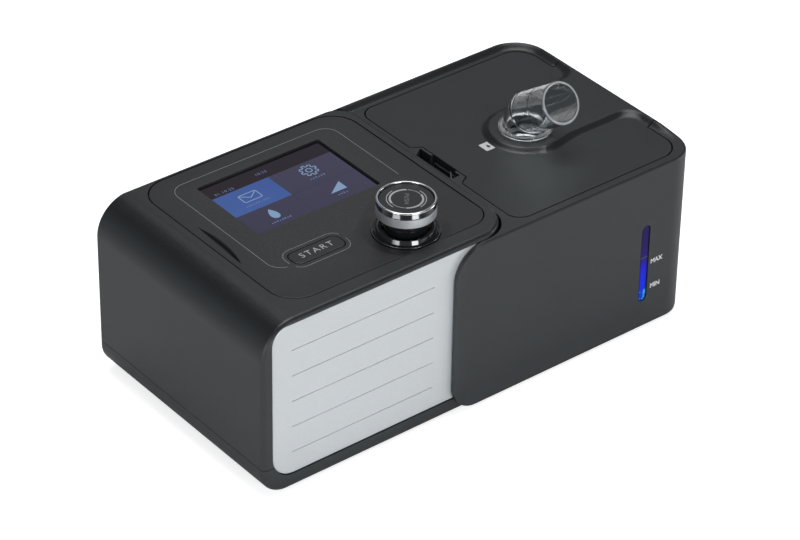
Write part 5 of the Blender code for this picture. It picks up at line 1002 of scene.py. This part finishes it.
# Cutter that rounds one straight edge: outside the corner, inside the quarter circle r (1 - sin a, 1 - cos a)
def cornerCut(name, axis, corner, inwards, radius, start, end, steps=16):
    corner, inwards = np.array(corner), np.array(inwards, float)
    turn = np.linspace(0, math.pi / 2, steps + 1)
    curve = corner + inwards * radius * (1 - np.stack([np.sin(turn), np.cos(turn)], -1))
    outside = corner + inwards * np.array([[-over, radius], [-over, -over], [radius, -over]])
    return bar(name, axis, np.concatenate([curve, outside]), start, end)


# Casing outline at an inset; its left side lies out of the way behind the main unit
def planLine(inset, left=-0.06, corners=20):
    h = humidifier
    return roundRect((left, frontY), (rightX, backY), (0, h["frontCorner"], h["backCorner"], 0), inset, corners)


# Share of the rim's height at a place along the side: it fades out towards the front
def rimFade(y):
    return softStep(y, humidifier["fadeTo"], humidifier["fadeFrom"])


# The casing's outside as rings: up the wall, over the outer round, then down the hollow foot to the lid's plane
def casingRings():
    h = humidifier
    r = h["rimRound"]
    base = planLine(0.0)
    counts = np.maximum(1, np.ceil(np.linalg.norm(np.roll(base, -1, 0) - base, axis=1) / 0.003)).astype(int)
    outside = splitSides(base, counts)
    fade = rimFade(outside[:, 1])
    frontShare = h["frontShare"] + (1 - h["frontShare"]) * fade
    rings = [np.column_stack([outside, np.full(len(fade), z)]) for z in h["wallLevels"]]
    # Where the rim has faded out, the outer round is smaller: its rings move towards the outline
    for angle in np.radians(np.linspace(0, 90, 10)):
        line = splitSides(planLine(r * (1 - math.cos(angle))), counts)
        line = outside * (1 - frontShare[:, None]) + line * frontShare[:, None]
        rings.append(np.column_stack([line, lidTop + h["rise"] * fade - r * frontShare * (1 - math.sin(angle))]))
    for t in np.linspace(-0.12, 1.12, 22):
        inset = h["coveStart"] + h["coveWidth"] * t
        if inset > r + 0.00004:
            line = splitSides(planLine(inset), counts)
            rings.append(np.column_stack([line, lidTop + h["rise"] * fade * float(coveShare(t))]))
    return rings


# Bar of the shape by which the lid's edge steps back round the finger pocket, in two S-curves of
# depth (3 t^2 - 2 t^3); gap makes it smaller on all sides
def notchBar(name, low, high, gap=0.0):
    n, edgeX = notch, lidBox[0][0]
    turn = np.linspace(0, 1, 13)
    swell = (n["depth"] - gap) * turn * turn * (3 - 2 * turn)
    front, back = n["front"] + gap, n["back"] - gap
    edge = np.concatenate([np.column_stack([edgeX + swell, front + n["bend"] * turn]),
                           np.column_stack([edgeX + swell[::-1], back - n["bend"] * (1 - turn)]),
                           [(edgeX - over, back), (edgeX - over, front)]])
    return bar(name, "Z", edge, low, high)


# The main unit's plan, grown, as a cutter: the room that it needs in the humidifier's bay
def mainRoom(name, grow):
    c = casing
    return slab(name, "Z", (leftX - over, mainFrontY - hair - (grow - moveGap)), (dockX + grow, backY + grow),
                (0, c["dockBay"] + grow, c["backDockCorner"] + grow, 0), ((-over, 0), (topZ + over, 0)), steps=20)


# Casing of the humidifier: the rings' solid less its inside, the main unit's room, rounds, seats and holes
def humidifierCasing():
    h, n = humidifier, notch
    w, g, wingX, floorTop = h["wall"], lidGap, humLow.x, humLow.z + h["wall"]
    shell = skin("humidifierCasing", casingRings())
    hollow = bar("humidifierHollow", "Z", planLine(w), floorTop, lidUnder - hair - h["shelfHeight"])
    carve(hollow, cornerCut("hollowRound", "Y", (rightX - w, floorTop), (-1, 1), h["bottomRight"] - w, frontY, backY),
          mainRoom("hollowSide", moveGap + w))
    wingEnds = frontY - over, frontY + over
    carve(shell, hollow, mainRoom("dockSide", moveGap),
          cornerCut("bottomRound", "Y", (rightX, humLow.z), (-1, 1), h["bottomRight"], frontY - over, backY + over),
          plank("wingEnd", (-0.08, frontY - over, -over), (wingX, backY + over, topZ + over)),
          cornerCut("wingLow", "Y", (wingX, humLow.z), (1, 1), h["wingLow"], *wingEnds),
          cornerCut("wingHigh", "Y", (wingX, lidTop), (1, -1), h["wingHigh"], *wingEnds))
    # The finger pocket has a tray of its own, which the way for the water chamber leaves standing
    dockLeft, trayWall = dockX + moveGap, n["trayWall"]
    trayLow = (dockLeft + hair, n["pocketFront"] - trayWall, lidTop - n["trayDeep"])
    trayHigh = (n["wallRight"], n["pocketFar"] + trayWall, lidUnder)
    carve(shell, plank("pocketTray", trayLow, (*trayHigh[:2], lidUnder - hair)), operation="UNION")
    m = h["shelf"] + g
    seat = slab("lidSeat", "Z", *grown(*lidBox, g), lidRadii, ((lidUnder - g, 0), (topZ + over, 0)), steps=16)
    way = slab("lidWay", "Z", *grown(*lidBox, -m), 0.0085, ((0.07, 0), (topZ + over, 0)), steps=10)
    notchLow, notchHigh = lidUnder - 0.0012, topZ + over + over
    carve(seat, notchBar("seatNotch", notchLow, notchHigh, lidGap))
    carve(way, notchBar("wayNotch", notchLow, notchHigh, lidGap),
          plank("wayTray", (*trayLow[:2], trayLow[2] - hair), trayHigh))
    # Openings: hinge and its pin, pocket and latch, underside, air port, plug and level window
    pocketFloor, lip, plugHalf = lidTop - n["pocketDeep"], w + h["floorLip"], h["plugHalf"]
    hingeRoom = plank("hingeRoom", (lidBox[1][0] - hingeRadius, hingeFront - g, hingeZ - hingeRadius - g),
                      (rightX + over, hingeBack + g, topZ + over))
    bore = peg("pinBore", (hingeX, 0, hingeZ), pinRadius, hingeFront - 0.0038, hingeBack + 0.0038, "Y", 24)
    pocketPlan = ((dockLeft + trayWall, n["pocketFront"]), (n["pocketRight"], n["pocketFront"]),
                  (n["pocketRight"], n["pocketFar"]), (dockLeft + trayWall, n["pocketBack"]))
    pocket = bar("pocketRoom", "Z", np.array(pocketPlan), pocketFloor, topZ + over)
    latchWay = plank("latchWay", (n["pocketRight"] - 0.002, latchLow.y - moveGap, pocketFloor),
                     (n["wallRight"] + 0.004, latchHigh.y + moveGap, topZ + over))
    floorHole = plank("floorHole", (dockLeft + lip, frontY + lip, -over),
                      (rightX - h["bottomRight"] - h["floorLip"], backY - lip, floorTop + over))
    spigot = peg("spigotHole", (dockLeft, portY, portZ), h["spigotHole"], -over, w + over, "X")
    plug = plank("plugHole", (dockLeft - over, h["plugY"] - plugHalf, h["plugFoot"]),
                 (dockLeft + w + over, h["plugY"] + plugHalf, h["plugHead"]))
    windowSpan = grown((windowLow.x, windowLow.z), (windowHigh.x, windowHigh.z), hair - windowRim)
    window = slab("windowHole", "Y", *windowSpan, 0.0028, ((frontY - over, 0), (frontY + w + over, 0)), steps=12)
    carve(shell, seat, way, hingeRoom, bore, pocket, latchWay, floorHole, spigot, plug, window)
    mount(soften(shell, 0.00028, 3, 44), charcoalShell, "humidifier", "charcoal_shell", "humidifier_housing")


humidifierCasing()
print("stage: humidifier casing made")


# Blends two distances into one with a fillet where both are about alike: a line between them less reach s (1 - s)
def blendNear(first, second, reach):
    share = np.clip(0.5 + 0.5 * (second - first) / reach, 0, 1)
    return second * (1 - share) + first * share - reach * share * (1 - share)


# Height of the lid's face: rim, boss and tongue rise out of the plane with one hollow foot, filleted where they
# meet: lidTop + rise times the cove's share of the distance to the nearest of them
def lidHeight(x, y):
    h = humidifier
    rim = rightX - x - h["coveStart"]
    boss = np.hypot(x - outletX, y - outletY) - 0.0186
    back = outletY + 0.0160 + (0.0240 - 0.0160) * softStep(x, outletX, outletX + 0.0155)
    tongue = np.maximum(np.maximum(outletY - 0.0167 - y, y - back), outletX - x)
    near = blendNear(rim, blendNear(boss, tongue, 0.006), 0.010)
    return lidTop + h["rise"] * coveShare(near / h["coveWidth"])


# Lid: its face is the height over a grid of x and y, its hinge side a barrel, cut to its outline and its two holes
def lidShape():
    swing = np.radians(np.linspace(-60, 90, 21))
    barrelX = hingeX + hingeRadius * np.sin(swing)
    x, y = np.meshgrid(
        np.concatenate([np.linspace(0.019, 0.050, 13), np.linspace(0.0506, barrelX[0] - 0.0003, 134), barrelX]),
        np.concatenate([np.linspace(frontY + 0.004, -0.040, 10), np.linspace(-0.0395, 0.0365, 134),
                        np.linspace(0.038, 0.062, 10)]), indexing="ij")
    drop = np.sqrt(np.maximum(hingeRadius ** 2 - (x - hingeX) ** 2, 0))
    top = np.where(x > hingeX, hingeZ + drop, lidHeight(x, y))
    under = np.where(x > hingeX - hingeRadius, np.minimum(lidUnder, hingeZ - drop), lidUnder)
    bottom = np.where(x > hingeX, hingeZ - drop, under)
    rings = np.concatenate([np.stack([x, y, top], -1), np.stack([x, y, bottom], -1)[:, ::-1]], 1)
    cover = skin("humidifierLid", rings, capEnd=False)
    outline = slab("lidOutline", "Z", *lidBox, lidRadii, ((0.08, 0), (topZ + over, 0)), steps=20)
    hinge = plank("lidHinge", (lidBox[1][0] - 0.010, hingeFront, 0.08), (rightX + over, hingeBack, topZ + over))
    carve(outline, hinge, operation="UNION")
    carve(outline, notchBar("notchCut", 0.07, topZ + over + over))
    carve(cover, outline, operation="INTERSECT")
    carve(cover, peg("outletHole", (outletX, outletY, topZ), 0.0131, -0.02, over, sides=96),
          peg("barrelBore", (hingeX, 0, hingeZ), pinRadius, hingeFront - over, hingeBack + over, "Y", 24))
    mount(cover, charcoalShell, "lid", "charcoal_shell", "humidifier_lid", degrees=40)


lidShape()
print("stage: lid made")

# Latch: a ribbed tab behind the lid's edge with one upright fin in the finger pocket
latch = {"tabFrom": 0.0010, "ribs": 3, "finLow": 0.0052, "finHigh": 0.0006,
         "fin": ((0.0268, -0.0046), (0.0196, -0.0144), (0.0200, -0.0148), (0.0268, -0.0056))}


# Latch: a soft-edged tab with even ribs across it, and the fin's four corners drawn upwards
def latchPiece():
    low, high = latchLow, latchHigh
    tab = slab("latchTab", "X", (low.y, low.z), (high.y, high.z), (0.0012, 0.0012, 0.0006, 0.0006),
               softEnds(low.x + latch["tabFrom"], high.x, 0.0003, 0.0003), steps=5)
    pitch = (high.z - low.z) / (latch["ribs"] + 1)
    for row in range(latch["ribs"]):
        z = high.z - pitch * (row + 1)
        rib = slab(f"latchRib{row}", "Y", (low.x, z - 0.0005), (high.x - 0.001, z + 0.0005),
                   (0.00045, 0, 0, 0.00045), ((low.y + 0.001, 0), (high.y - 0.001, 0)), steps=6)
        carve(tab, rib, operation="UNION")
    # The tab takes the darker charcoal copy, painted shade of the pocket
    mount(soften(tab, 0.00012, 2, 40), pocketShadeCharcoal, "lid_latch", "charcoal_shell", "lid_latch")
    # The fin takes the pale inner plastic: a painted highlight for its bright edge
    fin = bar("latchFin", "Z", np.array(latch["fin"]), high.z - latch["finLow"], high.z - latch["finHigh"])
    mount(fin, innerPlastic, "lid_latch", "inner_plastic")


latchPiece()

# Clear collar and elbow: turned and swept tubes with moulded beads where the real one is joined
elbow = {"radius": 0.0111, "wall": 0.0016, "tilt": math.radians(35.0), "bend": 0.0092, "cross": 0.0087,
         "reach": 0.0317, "beadAt": -0.0020, "beadHigh": 0.00026, "beadHalf": 0.0005, "stepAt": 0.0126,
         "stepLong": 0.0006, "step": 0.0001, "lip": 0.0009}


# Collar: a sleeve through the lid with a rounded flange on it, as one profile turned about the outlet
def collarPiece():
    inner, flange = elbow["radius"] + hair, (collarHigh.x - collarLow.x) / 2
    outer, top, low, foot = inner + 0.0014, collarHigh.z, collarLow.z, topZ + hair
    profile = [(inner + 0.0002, low), (outer, low), (outer, foot), (flange - 0.0003, foot),
               *bend(flange - 0.0003, foot + 0.0003, 0.0003, -90, 0, 3),
               *bend(flange - 0.0006, top - 0.0006, 0.0006, 0, 90, 6),
               (inner + 0.0009, top), *bend(inner + 0.0005, top - 0.0005, 0.0005, 90, 180, 5)]
    collar = lathe("outletCollar", profile, (outletX, outletY, 0), 128)
    mount(collar, clearPlastic, "lid", "clear_plastic", "outlet_collar")


# Centre line of the elbow: straight up, round the bend by y = r cos a and z = r sin a, straight out. It gives the
# points, the angles, the running length and the number of the bend's last point
def elbowLine(reach, foot):
    e = elbow
    turnBy = math.pi / 2 - e["tilt"]
    crossZ = topZ + e["cross"]
    startZ = crossZ - e["bend"] * math.tan(turnBy / 2)
    rise = np.arange(foot, startZ, 0.0005)
    angles = np.linspace(0, turnBy, 34)
    run = np.linspace(0, 1, 70)[1:]
    bendY = outletY - e["bend"] + e["bend"] * np.cos(angles)
    bendZ = startZ + e["bend"] * np.sin(angles)
    endY, endZ = outletY - math.cos(e["tilt"]) * reach, crossZ + math.sin(e["tilt"]) * reach
    y = np.concatenate([np.full(len(rise), outletY), bendY, bendY[-1] + (endY - bendY[-1]) * run])
    z = np.concatenate([rise, bendZ, bendZ[-1] + (endZ - bendZ[-1]) * run])
    angle = np.concatenate([np.zeros(len(rise)), angles, np.full(len(run), turnBy)])
    length = np.concatenate([[0], np.cumsum(np.hypot(np.diff(y), np.diff(z)))])
    return y, z, angle, length, len(rise) + len(angles) - 1


# Elbow: a circle carried along the centre line, square to it, once for the outside and back for the inside.
# A bead is a smooth bump of the radius, exp(-(distance / half)^4), and the lip draws the mouth's edges in
def elbowPiece(sides=96):
    e = elbow
    y, z, angle, length, bendEnd = elbowLine(e["reach"], elbowLow.z)
    straightFrom, total = length[bendEnd], length[-1]
    lip = softStep(length, total - e["lip"], total) ** 2
    bead = np.exp(-((length - (straightFrom + e["beadAt"])) / e["beadHalf"]) ** 4)
    stepEnd = straightFrom + e["stepAt"]
    outer = e["radius"] - e["lip"] * 0.5 * lip + e["beadHigh"] * bead
    step = e["step"] * softStep(length, stepEnd - e["stepLong"], stepEnd)
    inner = e["radius"] - e["wall"] + step + e["lip"] * 0.4 * lip
    turn = np.linspace(0, 2 * math.pi, sides, endpoint=False)
    rings = []
    for radius in (outer, inner):
        side = radius[:, None] * np.sin(turn)
        rings.append(np.stack([outletX + radius[:, None] * np.cos(turn), y[:, None] + side * np.cos(angle)[:, None],
                               z[:, None] + side * np.sin(angle)[:, None]], -1))
    rings = np.concatenate([rings[0], rings[1][::-1], rings[0][:1]])
    tube = skin("outletElbow", rings, capStart=False, capEnd=False)
    mount(tube, clearElbow, "elbow", "clear_plastic", "outlet_elbow")


collarPiece()
elbowPiece()
print("stage: latch, collar and elbow made")

# Level window: a lit blue pill that is violet at its top and breaks into bright ripples at the water line, painted
# glints
blueWindow = Finish("blueWindow", {"IOR": 1.5, "Roughness": 0.25, "Base Color": (0, 0, 0), "Specular IOR Level": 0.12,
                                   "Emission Strength": 1.0})
windowX, windowZ = blueWindow.axes(blueWindow.place())[::2]
windowHeight = windowZ.ramp(windowLow.z, windowHigh.z)
ripple = blueWindow.noise(420.0, 3.0, stretch=(1.0, 1.0, 0.7))
windowTone = blueWindow.node("ValToRGB", {"stops": (
    (0.0, screen(10, 60, 170)), (0.10, screen(10, 90, 250)), (0.24, screen(12, 40, 225)), (0.42, screen(20, 28, 210)),
    (0.56, screen(34, 20, 128)), (0.70, screen(30, 16, 92)), (1.0, screen(34, 18, 84)))},
    {"Fac": windowHeight + (ripple - 0.5) * 0.07})
# Painted glints: bright ripples in the lowest fifth of the window
paintedGlint = ripple.ramp(0.52, 0.64) * (windowHeight < 0.2) * 0.8
windowAcross = windowX.ramp(windowLow.x + windowRim, windowHigh.x - windowRim)
# Painted shade: the glow falls to dark violet towards the window's sides
paintedSideShadeFalloff = (4.0 * windowAcross * (1.0 - windowAcross)).ramp(0.0, 0.75)
windowLit = blueWindow.blend(paintedGlint, windowTone, screen(60, 190, 255))
blueWindow.feed(Emission_Color=blueWindow.blend(paintedSideShadeFalloff, screen(14, 12, 34), windowLit),
                Normal=blueWindow.bump(ripple, 0.00003))


# Level window: a rounded pill through the casing with a flange behind it, and the mark of the water line on it
def levelWindow():
    low, high = grown((windowLow.x, windowLow.z), (windowHigh.x, windowHigh.z), -windowRim)
    pill = slab("levelWindow", "Y", low, high, (high[0] - low[0]) / 2,
                softEnds(windowLow.y, windowHigh.y - windowRim, 0.0004), steps=14)
    carve(pill, plank("windowFlange", (windowLow.x, windowHigh.y - windowRim, windowLow.z), windowHigh),
          operation="UNION")
    mount(pill, blueWindow, "humidifier", "window_tint", "level_window")
    middle = (low[0] + high[0]) / 2
    mark = inkPlate("waterMark", roundRect((middle - 0.0022, 0.0437), (middle + 0.0022, 0.0446), 0.0001, 0, 1),
                    windowLow.y, "Y", 0.00004, 0.00002)
    mount(mark, screenGlass, "humidifier", "window_tint")


levelWindow()

# Printed words and the square sign with its drop
labels = {"column": 0.1102, "maxZ": 0.0401, "minZ": 0.0249, "capital": 0.0027, "heavy": 0.00011,
          "signX": 0.0523, "signY": -0.0033, "signSide": 0.0068}


# The two words on the front, the white square on the lid and the drop in it
def humidifierPrint():
    p = labels
    for text, level in (("MAX", p["maxZ"]), ("MIN", p["minZ"])):
        piece = word("word" + text, text, p["capital"], (p["column"], frontY - 0.00002, level), up=(0, 0, 1),
                     heavy=p["heavy"])
        mount(piece, whiteInk, "humidifier", "silver_panel")
    x, y, half = p["signX"], p["signY"], p["signSide"] / 2
    square = inkPlate("signSquare", roundRect(*about(x, y, half, half), 0.0003, 0, 3), lidTop)
    mount(square, whiteInk, "lid", "silver_panel")
    drop = inkPlate("signDrop", dropLine(x, y, 0.0010, 0.0015, 48), lidTop + 0.00005)
    mount(drop, blackFascia, "lid", "silver_panel")


humidifierPrint()
print("stage: window, words and sign made")


# Studio: camera as the photograph was taken, plain floor, soft boxes
studio = {
    "cameraAt": (-0.88876, -1.09508, 1.00676),
    "cameraRight": (0.78272155, -0.62219898, 0.01467652),
    "cameraUp": (0.34203886, 0.44974412, 0.82506947),
    "cameraBack": (-0.51995806, -0.64077972, 0.56484065),
    "lens": 153.5,
    "floorTone": screen(248),
    "worldTone": 0.17,
    "floorLift": 0.72,
}

view = bpy.data.cameras.new("photoCamera")
view.sensor_width = 36.0
view.lens = studio["lens"]
view.clip_start, view.clip_end = 0.05, 20.0
camera = linked("photoCamera", view)
axes = np.array([studio["cameraRight"], studio["cameraUp"], studio["cameraBack"]]).T
camera.matrix_world = Matrix.Translation(studio["cameraAt"]) @ Matrix(axes.tolist()).to_4x4()
bpy.context.scene.camera = camera


# A soft box: an area lamp aimed at a point near the machine
def softBox(name, at, aim, size, power):
    lamp = bpy.data.lights.new(name, "AREA")
    lamp.shape = "RECTANGLE"
    lamp.size, lamp.size_y = size
    lamp.energy = power
    turn = (Vector(at) - Vector(aim)).to_track_quat("Z", "Y").to_matrix().to_4x4()
    linked(name, lamp).matrix_world = Matrix.Translation(at) @ turn


# Low boxes light the left and the front, one overhead lights the top and the floor, a dim one lies behind
softBox("leftBox", (-1.30, -0.42, 0.30), (0, 0, 0.05), (0.62, 0.55), 4.6)
softBox("frontBox", (-0.16, -1.38, 0.32), (0, 0, 0.05), (0.56, 0.55), 7.6)
softBox("topBox", (0.15, 0.25, 1.7), (0, 0, 0), (1.3, 1.0), 15.0)
softBox("rightBox", (1.25, -0.62, 0.22), (0, 0, 0.05), (0.4, 0.5), 3.4)
softBox("backBox", (1.05, 1.30, 1.0), (0, 0, 0.05), (0.8, 0.7), 0.6)

# The floor and the sky beyond are white to the camera, the sky also through glass, and the sky a plain grey as light
# and in gloss
world = bpy.data.worlds.new("plainRoom")
bpy.context.scene.world = world
world.use_nodes = True
nodes, links = world.node_tree.nodes, world.node_tree.links
nodes.clear()
paths = nodes.new("ShaderNodeLightPath")
seen = nodes.new("ShaderNodeMath")
seen.operation = "MAXIMUM"
links.new(paths.outputs["Is Camera Ray"], seen.inputs[0])
links.new(paths.outputs["Is Transmission Ray"], seen.inputs[1])
roomLight, roomWhite = nodes.new("ShaderNodeBackground"), nodes.new("ShaderNodeBackground")
roomLight.inputs["Color"].default_value = (0.93, 0.96, 1.0, 1)
roomLight.inputs["Strength"].default_value = studio["worldTone"]
choose, out = nodes.new("ShaderNodeMixShader"), nodes.new("ShaderNodeOutputWorld")
links.new(seen.outputs[0], choose.inputs[0])
links.new(roomLight.outputs[0], choose.inputs[1])
links.new(roomWhite.outputs[0], choose.inputs[2])
roomWhite.inputs["Color"].default_value = (1, 1, 1, 1)
links.new(choose.outputs[0], out.inputs["Surface"])

reach = 3.0
floorPoints = [(-reach, -reach, 0), (reach, -reach, 0), (reach, reach, 0), (-reach, reach, 0)]
floorFinish = Finish("paleFloor", {"Base Color": studio["floorTone"], "Roughness": 0.9, "IOR": 1.2,
                                   "Emission Strength": studio["floorLift"]})
# Only the camera sees the floor lifted to white; shadows stay because the lift is added to what light falls there
floorSeen = floorFinish.node("LightPath", output="Is Camera Ray")
floorFinish.feed(Emission_Color=floorFinish.blend(floorSeen, (0, 0, 0), (1, 1, 1)))
floor = meshPiece("paleFloor", floorPoints, [(0, 1, 2, 3)])
floor.data.materials.append(floorFinish.material)
bpy.context.scene.view_settings.view_transform = "Standard"
